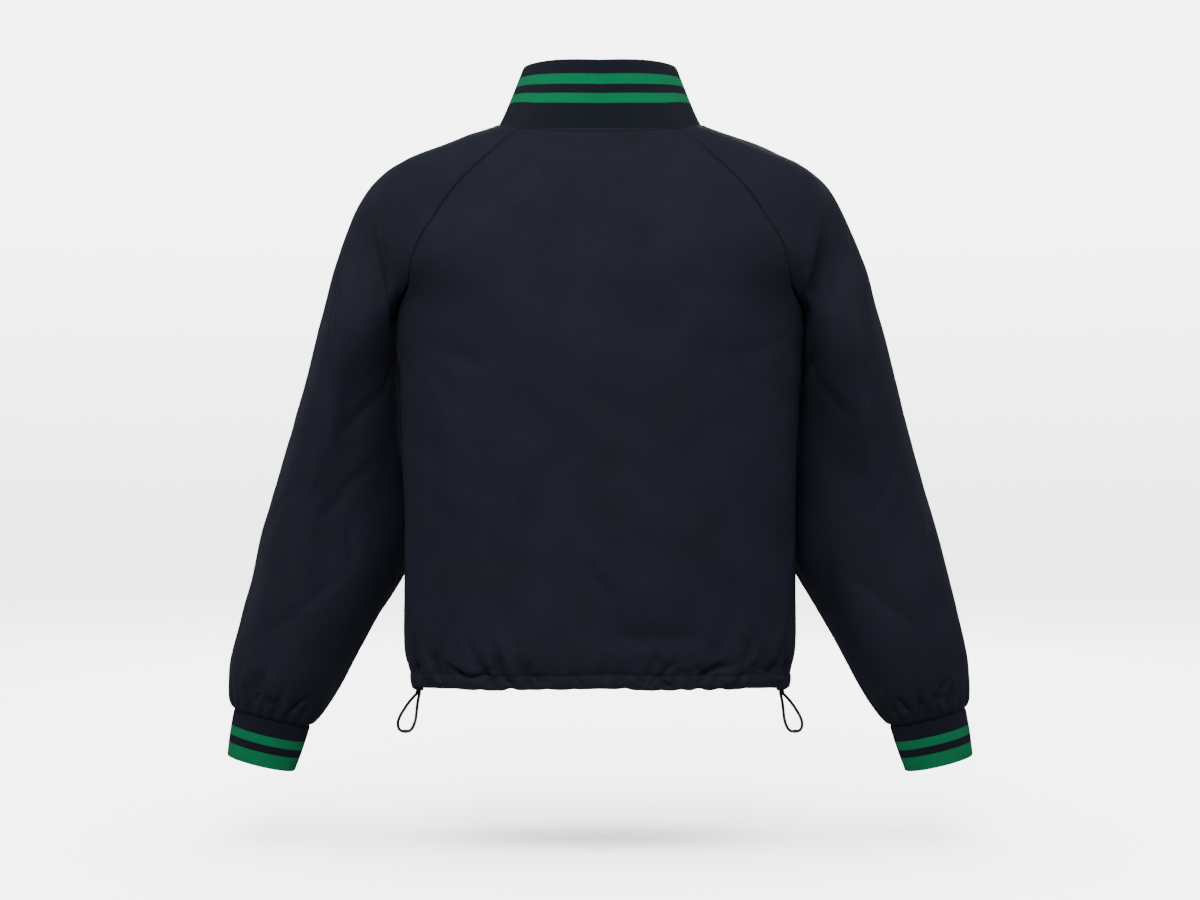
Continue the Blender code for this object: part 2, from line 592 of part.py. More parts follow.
def sleeve_fold_depth(side, v, turn):
    """How deep the soft folds of one sleeve are, at its stations v and turns in degrees."""
    total = np.zeros((len(v), len(turn)))
    for row in SLEEVE_FOLDS:
        fold = dict(zip(SLEEVE_FOLD_COLUMNS, row))
        if fold["side"] != side:
            continue
        along = (v - fold["from_v"]) / (fold["to_v"] - fold["from_v"])
        middle = fold["from_turn"] + (fold["to_turn"] - fold["from_turn"]) * along
        aside = (turn[None, :] - middle[:, None] + 180.0) % 360.0 - 180.0
        start = smoothstep((along + FOLD_OVERRUN) / FOLD_TAPER)
        taper = start * smoothstep((1.0 + FOLD_OVERRUN - along) / FOLD_TAPER)
        total += fold["depth"] * taper[:, None] * np.exp(-((aside / fold["half_turn"]) ** 2))
    return total


def pucker_depth(from_cuff, turn):
    """How deep the puckers above the cuff seam are, by the distance from it and the turn."""
    total = np.zeros((len(from_cuff), len(turn)))
    for row in CUFF_PUCKERS:
        pucker = dict(zip(PUCKER_COLUMNS, row))
        aside = (turn[None, :] - pucker["angle"] + 180.0) % 360.0 - 180.0
        aside = aside / pucker["half_angle"]
        crease = np.exp(-(aside**2)) - PUCKER_PUFF_SHARE * np.exp(-(aside**2) / PUFF_SPREAD)
        total += pucker["depth"] * np.exp(-((from_cuff[:, None] / pucker["reach"]) ** 2)) * crease
    rise = HEM_EDGE_SHARE + (1.0 - HEM_EDGE_SHARE) * smoothstep(from_cuff / PUCKER_RISE)
    return total * rise[:, None]


def sleeve_grid(side, v, t):
    """A sleeve in the left one's place: columns from the back seam over the outer line to the front."""
    back = sleeve_half("back", v, t)
    front = sleeve_half("front", v, t)
    grid = np.concatenate([back, front[:, -2::-1]], axis=1)
    columns = grid.shape[1]
    turn = np.concatenate([180.0 * (1.0 - t), 360.0 - 180.0 * (1.0 - t[-2::-1])])
    centre = 0.5 * (grid[:, :1] + grid[:, columns // 2][:, None])
    outward = grid - centre
    outward /= np.maximum(np.linalg.norm(outward, axis=-1, keepdims=True), 1e-9)
    end = sleeve_half("back", np.array([2.0]), np.array([0.0, 1.0]))[0].mean(axis=0)
    from_cuff = np.linalg.norm(centre[:, 0] - end, axis=-1)
    edge = smoothstep(np.abs(turn - 180.0) / EDGE_CALM_DEG)
    calm = np.where((v < 1.0)[:, None], edge[None, :], 1.0)
    depth = sleeve_fold_depth(side, v, turn) * calm
    depth += pucker_depth(from_cuff, turn) * (v > PUCKERS_FROM_V)[:, None]
    return grid - outward * depth[..., None]


def neck_ring(count):
    """The neck's edge from the centre back to the centre front, on the wearer's left."""
    t = np.linspace(0.0, 1.0, NECK_SAMPLES)
    first = np.array([0.0])
    back = panel_half("back", first, t)[0]
    over_back = sleeve_half("back", first, t)[0]
    over_front = sleeve_half("front", first, t)[0][::-1]
    front = panel_half("front", first, t)[0][::-1]
    line = np.concatenate([back, over_back[1:], over_front[1:], front[1:]])
    length = np.concatenate([[0.0], np.cumsum(np.linalg.norm(np.diff(line, axis=0), axis=1))])
    near_zip = slice(-NECK_FRONT_SAMPLES, None)
    end = np.interp(-ZIP_SLOT_HALF_WIDTH, -line[near_zip, 0], length[near_zip])
    wanted = np.linspace(0.0, end, count)
    return np.stack([np.interp(wanted, length, line[:, k]) for k in range(3)], axis=-1)


def collar_half(count, rises):
    """Half the collar: rows up the collar, columns from the centre back to the zip."""
    base = neck_ring(count)
    round_way = np.linspace(0.0, 1.0, count)
    angle = np.radians(COLLAR_TOP.at("angle", round_way))
    top = np.stack(
        [
            COLLAR_TOP_HALF_WIDTH * np.sin(angle),
            COLLAR_TOP_HALF_DEPTH * np.cos(angle) - COLLAR_TOP_FORWARD,
            COLLAR_TOP.at("height", round_way),
        ],
        axis=-1,
    )
    top[-1, 0] = ZIP_SLOT_HALF_WIDTH
    p = rises[:, None, None]
    grid = base[None] + (top - base)[None] * p
    outward = np.stack([np.sin(angle), np.cos(angle), np.zeros(count)], axis=-1)
    hollow = COLLAR_HOLLOW * np.sin(math.pi * np.sqrt(p)) * outward[None]
    hollow[:, -1] *= [0.0, 1.0, 1.0]
    return grid - hollow


def cuff_grid(columns, rises):
    """The left cuff: rings from the sleeve's end along its own axis, slightly narrower at the end."""
    end = sleeve_half("back", np.array([2.0]), np.array([0.0, 1.0]))[0]
    centre = end.mean(axis=0)
    across = end[1] - end[0]
    across /= np.linalg.norm(across)
    forward = np.array([0.0, 1.0, 0.0])
    axis = np.cross(across, forward)
    axis *= -np.sign(axis[2])
    turn = np.radians(np.linspace(180.0, -180.0, columns))[None, :, None]
    rise = rises[:, None, None]
    half_width = CUFF_START_HALF_WIDTH + (CUFF_END_HALF_WIDTH - CUFF_START_HALF_WIDTH) * rise
    half_depth = CUFF_START_HALF_DEPTH + (CUFF_END_HALF_DEPTH - CUFF_START_HALF_DEPTH) * rise
    swell = 1 + CUFF_SWELL * np.sin(math.pi * rise)
    ring = across * half_width * np.cos(turn) + forward * half_depth * np.sin(turn)
    return centre + axis * (SEAM_GAP + CUFF_LENGTH * rise) + ring * swell


def zip_line():
    """The zip's centre line on the outer surface, up from the slot's end to the collar's top.

    It has a point at each row of the walls beside it, so it lies on them. With it come the
    directions up the line and outwards, and the share of the collar passed at each point.
    """
    stations = UPPER_STATIONS[UPPER_STATIONS <= ZIP_BOTTOM_V][::-1]
    chest = panel_half("front", stations, np.array([0.0, 1.0]))[:, 0]
    collar = collar_half(COLLAR_COLUMNS, COLLAR_RISES)[1:, -1] * [0.0, 1.0, 1.0]
    line = np.concatenate([chest, collar])
    on_collar = np.concatenate([np.full(len(chest) - 1, -1.0), COLLAR_RISES])
    tangent = np.gradient(line, axis=0)
    tangent /= np.linalg.norm(tangent, axis=-1, keepdims=True)
    outward = np.cross(tangent, [-1.0, 0.0, 0.0])
    outward *= -np.sign(outward[:, 1:2])
    return line, tangent, outward, on_collar


def zip_seat():
    """Where the slider sits on the zip's top stretch, with the ways up it and out of it."""
    line, _, outward, on_collar = zip_line()
    share = (SLIDER_AT_COLLAR_SHARE - on_collar[-2]) / (1.0 - on_collar[-2])
    stretch = line[-1] - line[-2]
    up = stretch / np.linalg.norm(stretch)
    out = outward[-1] - up * np.dot(outward[-1], up)
    return line[-2] + stretch * share, up, out / np.linalg.norm(out)


# ---------------------------------------------------------------- building
def clear_scene():
    """Takes out every object that the scene opened with."""
    for item in list(bpy.data.objects):
        bpy.data.objects.remove(item, do_unlink=True)


def material(name, colour, roughness):
    """A named material with a Principled shader."""
    made = bpy.data.materials.new(name)
    made.use_nodes = True
    shader = made.node_tree.nodes["Principled BSDF"]
    shader.inputs["Base Color"].default_value = colour
    shader.inputs["Roughness"].default_value = roughness
    shader.inputs["Metallic"].default_value = 0.0
    return made


def add_object(name, mesh, made_of, collection):
    """An object for a mesh, with its material, linked to the collection."""
    item = bpy.data.objects.new(name, mesh)
    item.data.materials.append(made_of)
    collection.objects.link(item)
    return item


def draw_in(grid, first_row=False, last_row=False, first_column=False, last_column=False):
    """Half a seam gap taken off the named edges of a grid, along its own surface."""
    grid = grid.copy()
    for wanted, edge, inside in (
        (first_row, np.s_[0], np.s_[1]),
        (last_row, np.s_[-1], np.s_[-2]),
        (first_column, np.s_[:, 0], np.s_[:, 1]),
        (last_column, np.s_[:, -1], np.s_[:, -2]),
    ):
        if wanted:
            way = grid[inside] - grid[edge]
            way /= np.linalg.norm(way, axis=-1, keepdims=True)
            grid[edge] = grid[edge] + way * SEAM_GAP / 2
    return grid


class Sheet:
    """An open surface, laid row by row, that a Solidify modifier turns into a wall."""

    def __init__(self):
        self.mesh = bmesh.new()
        self.rows = []

    def add_row(self, points, close=False):
        """Adds a row of points. A closed row's last point is its first one."""
        row = [self.mesh.verts.new(point) for point in points]
        if close:
            self.mesh.verts.remove(row[-1])
            row[-1] = row[0]
        self.rows.append(row)

    def face(self, *corners):
        """One face. A four-cornered one is split along its shorter diagonal."""
        corners = list(dict.fromkeys(corners))
        if len(corners) == 4:
            a, b, c, d = corners
            if (a.co - c.co).length < (b.co - d.co).length:
                self.mesh.faces.new((a, b, c))
                self.mesh.faces.new((a, c, d))
            else:
                self.mesh.faces.new((a, b, d))
                self.mesh.faces.new((b, c, d))
        elif len(corners) > 2:
            self.mesh.faces.new(corners)

    def fill(self, upper, lower, skip=()):
        """Faces between two rows. The lower one may have an odd number of steps to each one above."""
        above = self.rows[upper]
        below = self.rows[lower]
        ratio = (len(below) - 1) // (len(above) - 1)
        for k in range(len(above) - 1):
            if k in skip:
                continue
            under = below[ratio * k : ratio * (k + 1) + 1]
            for j in range(ratio):
                left = [above[k]] if 2 * j < ratio else []
                right = [above[k + 1]] if 2 * j > ratio - 2 else []
                self.face(*left, under[j], under[j + 1], *right)

    def drop_loose_points(self):
        """Removes the points that no face uses."""
        for vertex in list(self.mesh.verts):
            if not vertex.link_faces:
                self.mesh.verts.remove(vertex)

    def finish(self, name, wall, made_of, collection, outward):
        """The wall: the sheet's face that looks along outward at its first face stays outside."""
        mesh = bpy.data.meshes.new(name)
        self.mesh.faces.ensure_lookup_table()
        bmesh.ops.recalc_face_normals(self.mesh, faces=self.mesh.faces[:])
        probe = max(self.mesh.faces, key=lambda face: face.calc_center_median().dot(outward))
        if probe.normal.dot(outward) < 0:
            bmesh.ops.reverse_faces(self.mesh, faces=self.mesh.faces[:])
        self.mesh.to_mesh(mesh)
        self.mesh.free()
        mesh.shade_smooth()
        item = add_object(name, mesh, made_of, collection)
        solidify = item.modifiers.new("wall", "SOLIDIFY")
        solidify.thickness = wall
        solidify.offset = -1.0
        solidify.use_even_offset = False
        return item


def spaced(count, edge):
    """Columns from 0 to 1, evenly spaced, with a narrow one along the seam at the end."""
    return np.concatenate([np.linspace(0.0, 1.0 - edge, count), [1.0]])


def body_panel(side, made_of, collection):
    """The back or front panel. The front one has the zip's slit down its upper middle."""
    slit = side == "front"
    coarse = spaced(PANEL_COLUMNS, PANEL_EDGE_SHARE)
    if slit:
        coarse = np.insert(coarse, 1, ZIP_SLOT_SHARE)
    fine_count = HEM_SPLIT * (len(coarse) - 1) + 1
    fine = np.interp(np.linspace(0, len(coarse) - 1, fine_count), np.arange(len(coarse)), coarse)
    upper = panel_grid(side, UPPER_STATIONS, coarse)
    lower = panel_grid(side, LOWER_STATIONS, fine)
    middle = len(coarse) - 1
    if slit:
        upper[:, middle - 1, 0] = -ZIP_SLOT_HALF_WIDTH
        upper[:, middle + 1, 0] = ZIP_SLOT_HALF_WIDTH
    upper = draw_in(upper, first_row=True, first_column=True, last_column=True)
    lower = draw_in(lower, first_column=True, last_column=True)
    sheet = Sheet()
    for row in [*upper, *lower]:
        sheet.add_row(row)
    for k in range(len(sheet.rows) - 1):
        in_slit = slit and UPPER_STATIONS[min(k, len(UPPER_STATIONS) - 1)] < ZIP_BOTTOM_V
        sheet.fill(k, k + 1, skip=(middle - 1, middle) if in_slit else ())
    sheet.drop_loose_points()
    facing = 1.0 if side == "back" else -1.0
    return sheet.finish(side + "_panel", SHELL_WALL, made_of, collection, Vector((0, facing, 0)))


def sleeve(side, made_of, collection):
    """A raglan sleeve, open along the raglan seams and a closed tube below the underarm."""
    mirror = np.array([1.0 if side == "left" else -1.0, 1.0, 1.0])
    fine_count = CUFF_SPLIT * (len(SLEEVE_COLUMNS) - 1) + 1
    fine = np.interp(
        np.linspace(0, len(SLEEVE_COLUMNS) - 1, fine_count),
        np.arange(len(SLEEVE_COLUMNS)),
        SLEEVE_COLUMNS,
    )
    upper = sleeve_grid(side, SLEEVE_STATIONS, SLEEVE_COLUMNS)
    lower = sleeve_grid(side, CUFF_STATIONS, fine)
    upper = draw_in(upper, first_row=True)
    arcs = SLEEVE_STATIONS < 1.0
    upper[arcs] = draw_in(upper[arcs], first_column=True, last_column=True)
    crotch = int(np.sum(arcs))
    upper[crotch, [0, -1], 2] -= SEAM_GAP
    upper[crotch, [0, -1], 0] += SEAM_GAP
    lower = draw_in(lower, last_row=True)
    sheet = Sheet()
    for row, is_arc in zip(upper, arcs):
        sheet.add_row(row * mirror, close=not is_arc)
    for row in lower:
        sheet.add_row(row * mirror, close=True)
    for k in range(len(sheet.rows) - 1):
        sheet.fill(k, k + 1)
    outward = Vector((mirror[0], 0, 0))
    return sheet.finish("sleeve_" + side, SHELL_WALL, made_of, collection, outward)


def collar(made_of, collection):
    """The rib stand collar, open at the front for the zip."""
    half = collar_half(COLLAR_COLUMNS, COLLAR_RISES)
    grid = np.concatenate([half[:, :0:-1] * [-1.0, 1.0, 1.0], half], axis=1)
    grid = draw_in(grid, first_row=True)
    sheet = Sheet()
    for row in grid:
        sheet.add_row(row)
    for k in range(len(sheet.rows) - 1):
        sheet.fill(k, k + 1)
    return sheet.finish("collar", RIB_WALL, made_of, collection, Vector((0, 1, 0)))


def cuff(side, made_of, collection):
    """A rib cuff, a short tube beyond the sleeve's gathered end."""
    mirror = np.array([1.0 if side == "left" else -1.0, 1.0, 1.0])
    sheet = Sheet()
    for row in cuff_grid(CUFF_COLUMNS, CUFF_RISES):
        sheet.add_row(row * mirror, close=True)
    for k in range(len(sheet.rows) - 1):
        sheet.fill(k, k + 1)
    return sheet.finish("cuff_" + side, RIB_WALL, made_of, collection, Vector((mirror[0], 0, 0)))


def zip_strip(name, columns, depth, wall, made_of, collection):
    """A strip along the zip: columns across it, at a depth below the garment's outer surface."""
    line, tangent, outward, on_collar = zip_line()
    line[0] += tangent[0] * 2 * SEAM_GAP
    sheet = Sheet()
    for point, out, share in zip(line, outward, on_collar):
        bend = max(share, 0.0) / (2 * COLLAR_TOP_HALF_DEPTH)
        sunk = depth(share)
        sheet.add_row([point - out * (sunk + bend * x * x) + np.array([x, 0.0, 0.0]) for x in columns])
    for k in range(len(sheet.rows) - 1):
        sheet.fill(k, k + 1)
    return sheet.finish(name, wall, made_of, collection, Vector((0, -1, 0)))


def chain_depth(_on_collar):
    """The chain's face lies a little below the outer surface all along."""
    return CHAIN_DEPTH


def tape_depth(on_collar):
    """The tape lies just behind the shell, and further in behind the thicker collar."""
    return SEAM_GAP + TAPE_CLEARANCE + (SHELL_WALL if on_collar < 0 else RIB_WALL)


def place_on_zip(item, where, up, out):
    """Turns an object so that its own -Y looks out of the zip and its +Z up along it."""
    across = np.cross(out, up)
    turned = Matrix(np.stack([-across, -out, up], axis=1).tolist()).to_4x4()
    item.matrix_world = Matrix.Translation(Vector(where.tolist())) @ turned


def box(name, size, bevel, made_of, collection):
    """A box with its edges cut at 45 degrees."""
    mesh = bpy.data.meshes.new(name)
    form = bmesh.new()
    bmesh.ops.create_cube(form, size=1.0)
    bmesh.ops.scale(form, vec=size, verts=form.verts)
    form.to_mesh(mesh)
    form.free()
    item = add_object(name, mesh, made_of, collection)
    rounding = item.modifiers.new("rounded_edges", "BEVEL")
    rounding.width = bevel
    rounding.segments = 1
    rounding.limit_method = "NONE"
    return item


def cut_plate(name, outlines, thickness, made_of, collection, axis):
    """A flat outline with its holes, extruded. Its flat faces look along the given axis."""
    curve = bpy.data.curves.new(name, "CURVE")
    curve.dimensions = "2D"
    curve.fill_mode = "BOTH"
    curve.extrude = thickness / 2
    for outline in outlines:
        spline = curve.splines.new("POLY")
        spline.points.add(len(outline) - 1)
        for point, place in zip(spline.points, outline):
            point.co = (place[0], place[1], 0.0, 1.0)
        spline.use_cyclic_u = True
    item = bpy.data.objects.new(name, curve)
    collection.objects.link(item)
    bpy.context.view_layer.update()
    evaluated = item.evaluated_get(bpy.context.evaluated_depsgraph_get())
    mesh = bpy.data.meshes.new_from_object(evaluated)
    bpy.data.objects.remove(item, do_unlink=True)
    form = bmesh.new()
    form.from_mesh(mesh)
    bmesh.ops.remove_doubles(form, verts=form.verts, dist=0.000001)
    turn = Matrix.Rotation(math.radians(90.0), 4, "X")
    if axis == "X":
        turn = Matrix.Rotation(math.radians(90.0), 4, "Z") @ turn
    bmesh.ops.transform(form, matrix=turn, verts=form.verts)
    form.to_mesh(mesh)
    form.free()
    mesh.name = name
    mesh.materials.clear()
    return add_object(name, mesh, made_of, collection)


def rounded_box_outline(left, right, low, high, radius):
    """The corners of a rectangle, each rounded by a quarter circle."""
    outline = []
    for x, z, start in (
        (right - radius, high - radius, 0.0),
        (left + radius, high - radius, 90.0),
        (left + radius, low + radius, 180.0),
        (right - radius, low + radius, 270.0),
    ):
        for step in range(4):
            angle = math.radians(start + 30.0 * step)
            outline.append((x + radius * math.cos(angle), z + radius * math.sin(angle)))
    return outline


def bridge_arch():
    """The outline of the slider's bridge, along the zip and out of it, open underneath."""
    half = BRIDGE_SIZE[2] / 2
    high = BRIDGE_SIZE[1]
    return [
        (-half, -BRIDGE_ROOT),
        (-half, high - BRIDGE_CORNER),
        (-half + BRIDGE_CORNER, high),
        (half - BRIDGE_CORNER, high),
        (half, high - BRIDGE_CORNER),
        (half, -BRIDGE_ROOT),
        (half - BRIDGE_BAR, -BRIDGE_ROOT),
        (half - BRIDGE_BAR, high - BRIDGE_BAR),
        (-half + BRIDGE_BAR, high - BRIDGE_BAR),
        (-half + BRIDGE_BAR, -BRIDGE_ROOT),
    ]


def place_bridge(bridge, top, up, out):
    """The arch's outline runs along the zip (its x) and stands out of it (its y)."""
    across = np.cross(up, out)
    turned = Matrix(np.stack([across, up, out], axis=1).tolist()).to_4x4()
    bridge.matrix_world = Matrix.Translation(Vector(top.tolist())) @ turned


def zip_slider(made_of, collection, cutters):
    """The slider's plate with its bridge, lying on the chain."""
    seat, up, out = zip_seat()
    slider = box("zip_slider", SLIDER_SIZE, MOULDED_ROUNDING, made_of, collection)
    middle = seat + out * (SEAM_GAP - CHAIN_DEPTH + SLIDER_SIZE[1] / 2)
    place_on_zip(slider, middle, up, out)
    bridge = cut_plate("zip_bridge", [bridge_arch()], BRIDGE_SIZE[0], made_of, cutters, "X")
    bridge.hide_render = True
    bridge.display_type = "WIRE"
    top = middle + out * SLIDER_SIZE[1] / 2
    place_bridge(bridge, top, up, out)
    join = slider.modifiers.new("bridge", "BOOLEAN")
    join.operation = "UNION"
    join.solver = "EXACT"
    join.object = bridge
    return top


def zip_pull(top, made_of, collection):
    """The pull tab, hung by its bar under the slider's bridge. Its origin is on the hinge's line."""
    _, up, out = zip_seat()
    half = PULL_SIZE[0] / 2
    high = PULL_BAR / 2
    plate = rounded_box_outline(-half, half, high - PULL_SIZE[2], high, PULL_CORNER)
    hole_half = PULL_HOLE[0] / 2
    hole = rounded_box_outline(-hole_half, hole_half, -high - PULL_HOLE[1], -high, PULL_HOLE_CORNER)
    pull = cut_plate("zip_pull", [plate, hole], PULL_SIZE[1], made_of, collection, "Y")
    place_on_zip(pull, top + out * PULL_AXIS_ABOVE_SLIDER, up, out)


def zip_fastener(made_of, tape_made_of, collection, cutters):
    """The zip: its tapes, chain, bottom stop, slider and pull tab."""
    inner = CHAIN_HALF_WIDTH + SEAM_GAP
    columns = np.linspace(inner, inner + TAPE_WIDTH, 3)
    zip_strip("zip_tape_left", columns, tape_depth, TAPE_WALL, tape_made_of, collection)
    zip_strip("zip_tape_right", -columns[::-1], tape_depth, TAPE_WALL, tape_made_of, collection)
    edges = np.array([-CHAIN_HALF_WIDTH, CHAIN_HALF_WIDTH])
    zip_strip("zip_chain", edges, chain_depth, CHAIN_THICKNESS, made_of, collection)
    line, tangent, outward, _ = zip_line()
    foot = line[0] - tangent[0] * (STOP_SIZE[2] / 2 + SEAM_GAP)
    stop = box("zip_bottom_stop", STOP_SIZE, MOULDED_ROUNDING, made_of, collection)
    place_on_zip(stop, foot + outward[0] * (STOP_SIZE[1] / 2 + SEAM_GAP), tangent[0], outward[0])
    top = zip_slider(made_of, collection, cutters)
    zip_pull(top, made_of, collection)


def smooth_route(route, spacing):
    """Points at an even spacing along a smooth curve through a route's own points."""
    route = np.array(route)
    ends = np.concatenate([[2 * route[0] - route[1]], route, [2 * route[-1] - route[-2]]])
    t = np.linspace(0.0, 1.0, CURVE_SAMPLES, endpoint=False)[:, None]
    pieces = []
    for k in range(1, len(ends) - 2):
        a, b, c, d = ends[k - 1], ends[k], ends[k + 1], ends[k + 2]
        pieces.append(
            0.5 * (2 * b + (c - a) * t + (2 * a - 5 * b + 4 * c - d) * t**2 + (3 * b - a - 3 * c + d) * t**3)
        )
    line = np.concatenate([*pieces, route[-1:]])
    length = np.concatenate([[0.0], np.cumsum(np.linalg.norm(np.diff(line, axis=0), axis=1))])
    wanted = np.linspace(0.0, length[-1], int(round(length[-1] / spacing)) + 1)
    return np.stack([np.interp(wanted, length, line[:, k]) for k in range(2)], axis=-1)


def cord(name, route, sign, made_of, collection):
    """One strand of the loop, a round cord along its smoothed route."""
    curve = bpy.data.curves.new(name, "CURVE")
    curve.dimensions = "3D"
    curve.bevel_depth = CORD_DIAMETER / 2
    curve.bevel_resolution = 2
    curve.use_fill_caps = True
    points = smooth_route(route, CORD_STEP)
    spline = curve.splines.new("POLY")
    spline.points.add(len(points) - 1)
    for point, place in zip(spline.points, points):
        point.co = (sign * place[0], CORD_Y, place[1], 1.0)
    item = bpy.data.objects.new(name, curve)
    item.data.materials.append(made_of)
    collection.objects.link(item)
    return item


def cord_lock(side, sign, made_of, collection):
    """The cord lock, a small flattened ball just under the hem."""
    mesh = bpy.data.meshes.new("cord_lock_" + side)
    form = bmesh.new()
    bmesh.ops.create_uvsphere(form, u_segments=LOCK_SEGMENTS, v_segments=LOCK_RINGS, radius=0.5)
    bmesh.ops.scale(form, vec=LOCK_SIZE, verts=form.verts)
    form.to_mesh(mesh)
    form.free()
    mesh.shade_smooth()
    lock = add_object("cord_lock_" + side, mesh, made_of, collection)
    lock.location = (sign * LOCK_AT[0], LOCK_AT[1], LOCK_AT[2])
    lock.rotation_euler = (0.0, math.radians(sign * LOCK_TILT_DEG), 0.0)


def cord_bead(side, sign, made_of, collection):
    """The crimp bead, a short cylinder between the ends of the loop's two strands."""
    start = Vector((sign * OUTER_STRAND[-1][0], CORD_Y, OUTER_STRAND[-1][1]))
    end = Vector((sign * INNER_STRAND[0][0], CORD_Y, INNER_STRAND[0][1]))
    mesh = bpy.data.meshes.new("cord_bead_" + side)
    form = bmesh.new()
    bmesh.ops.create_cone(
        form,
        cap_ends=True,
        segments=BEAD_SEGMENTS,
        radius1=BEAD_DIAMETER / 2,
        radius2=BEAD_DIAMETER / 2,
        depth=(end - start).length - 2 * BEAD_GAP,
    )
    form.to_mesh(mesh)
    form.free()
    bead = add_object("cord_bead_" + side, mesh, made_of, collection)
    bead.location = (start + end) / 2
    bead.rotation_mode = "QUATERNION"
    bead.rotation_quaternion = (end - start).to_track_quat("Z", "Y")
    rounding = bead.modifiers.new("rounded_ends", "BEVEL")
    rounding.width = BEAD_ROUNDING
    rounding.segments = 1


def hem_cord(side, cord_made_of, lock_made_of, collection):
    """One side's cord lock, the loop of cord below it in two strands, and the crimp bead."""
    sign = 1.0 if side == "left" else -1.0
    cord_lock(side, sign, lock_made_of, collection)
    cord("cord_outer_" + side, OUTER_STRAND, sign, cord_made_of, collection)
    cord("cord_inner_" + side, INNER_STRAND, sign, cord_made_of, collection)
    cord_bead(side, sign, lock_made_of, collection)


def main():
    clear_scene()
    collection = bpy.data.collections.new("quarter_zip_pullover")
    cutters = bpy.data.collections.new("cutters")
    bpy.context.scene.collection.children.link(collection)
    bpy.context.scene.collection.children.link(cutters)
    shell = material("shell_cloth", SHELL_COLOUR, 0.72)
    rib = material("rib_knit", RIB_COLOUR, 0.85)
    tape = material("zip_tape", ZIP_COLOUR, 0.80)
    zip_plastic = material("zip_moulded", ZIP_COLOUR, 0.38)
    elastic = material("elastic_cord", CORD_COLOUR, 0.60)
    lock_plastic = material("lock_plastic", LOCK_COLOUR, 0.45)
    for side in ("back", "front"):
        body_panel(side, shell, collection)
    collar(rib, collection)
    for side in ("left", "right"):
        sleeve(side, shell, collection)
        cuff(side, rib, collection)
        hem_cord(side, elastic, lock_plastic, collection)
    zip_fastener(zip_plastic, tape, collection, cutters)


main()
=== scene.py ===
"""Looks of a quarter-zip pullover: navy shell cloth, striped rib collar and cuffs, gathered cord hem.

Metres, +Z up. The back of the garment faces +Y and the wearer's left is +X, as in the CAD frame.
Every cloth piece follows the form of its CAD solid, with its creases, seams and ribs added.
"""

import logging
import math
from collections.abc import Sequence
from dataclasses import dataclass
from enum import Enum

import bmesh
import bpy
import numpy as np
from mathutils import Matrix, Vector


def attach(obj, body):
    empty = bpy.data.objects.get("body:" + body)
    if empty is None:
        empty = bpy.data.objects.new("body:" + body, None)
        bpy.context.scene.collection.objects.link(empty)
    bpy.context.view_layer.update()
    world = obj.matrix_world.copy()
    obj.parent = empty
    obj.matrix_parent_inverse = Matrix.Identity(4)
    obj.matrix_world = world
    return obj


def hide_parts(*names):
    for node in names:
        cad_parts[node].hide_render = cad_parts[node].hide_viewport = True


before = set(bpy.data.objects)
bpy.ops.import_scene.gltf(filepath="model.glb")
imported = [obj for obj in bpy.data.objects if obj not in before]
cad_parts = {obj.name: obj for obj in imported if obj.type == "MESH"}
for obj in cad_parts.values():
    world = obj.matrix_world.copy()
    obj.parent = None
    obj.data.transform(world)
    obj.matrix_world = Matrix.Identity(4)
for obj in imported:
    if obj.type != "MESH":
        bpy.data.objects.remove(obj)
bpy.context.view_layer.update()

LOG = logging.getLogger("pullover")
BODY_NAME = "garment"
Grid = np.ndarray
# Points, four-cornered faces and the UV of each face's corners.
Patch = tuple[np.ndarray, np.ndarray, np.ndarray]
Material = bpy.types.Material


class Panel(Enum):
    """The two body panels."""

    BACK = "back"
    FRONT = "front"

    @property
    def facing(self) -> float:
        """The sign of Y on the panel's outer side."""
        return 1.0 if self is Panel.BACK else -1.0


class Side(Enum):
    """The wearer's two sides."""

    LEFT = "left"
    RIGHT = "right"

    @property
    def sign(self) -> float:
        """The sign of X on this side."""
        return 1.0 if self is Side.LEFT else -1.0

    @property
    def out(self) -> tuple[float, float, float]:
        """The way out to this side."""
        return self.sign, 0.0, 0.0

    @property
    def mirror(self) -> list[float]:
        """What takes a place on the left to this side."""
        return [self.sign, 1.0, 1.0]


# ---------------- sizes of the form and its relief
SHELL_WALL = 0.0015
RIB_WALL = 0.0026
UNDERARM_DOWN = 0.215
UNDERARM_EASE = 0.0010
SWING_FROM_V = 0.80
RING_END_FROM_V = 0.55
STEEPEST_NORMAL = 0.35
STEEPEST_DROP = 0.9
START_HANDLE_SHARE = 0.52
END_HANDLE_SHARE = 0.56
RING_HANDLE_SHARE = 0.75
HEM_DOWN_AT_CENTRE = 0.5995
HEM_DOWN_AT_SIDE = 0.6085
ROW_BEND = {Panel.BACK: 2.6, Panel.FRONT: 1.7}
SIDE_CROWDING = 0.09
FOLD_TAPER = 0.4
FOLD_OVERRUN = 0.15
CASING_HEIGHT = 0.0140
GATHER_SHARE = 0.6
# The least and most of a small gather's lean, half_width, reach and depth.
SMALL_GATHERS = ((-0.4, 0.0022, 0.008, 0.0001), (0.4, 0.0034, 0.022, 0.0007))
TUCK_SAMPLES = 120
SEAM_GROOVE_DEPTH = 0.0017
SEAM_GROOVE_HALF_WIDTH = 0.0014
SEAM_RIPPLE = 0.00042
SEAM_EDGE = 0.002
TUNNEL_SWELL = 0.0008
TUNNEL_PINCH_HALF_WIDTH = 0.0013
# What share of the gathers and puckers is left at the very edge that they are drawn in to.
DRAWN_IN = 0.35
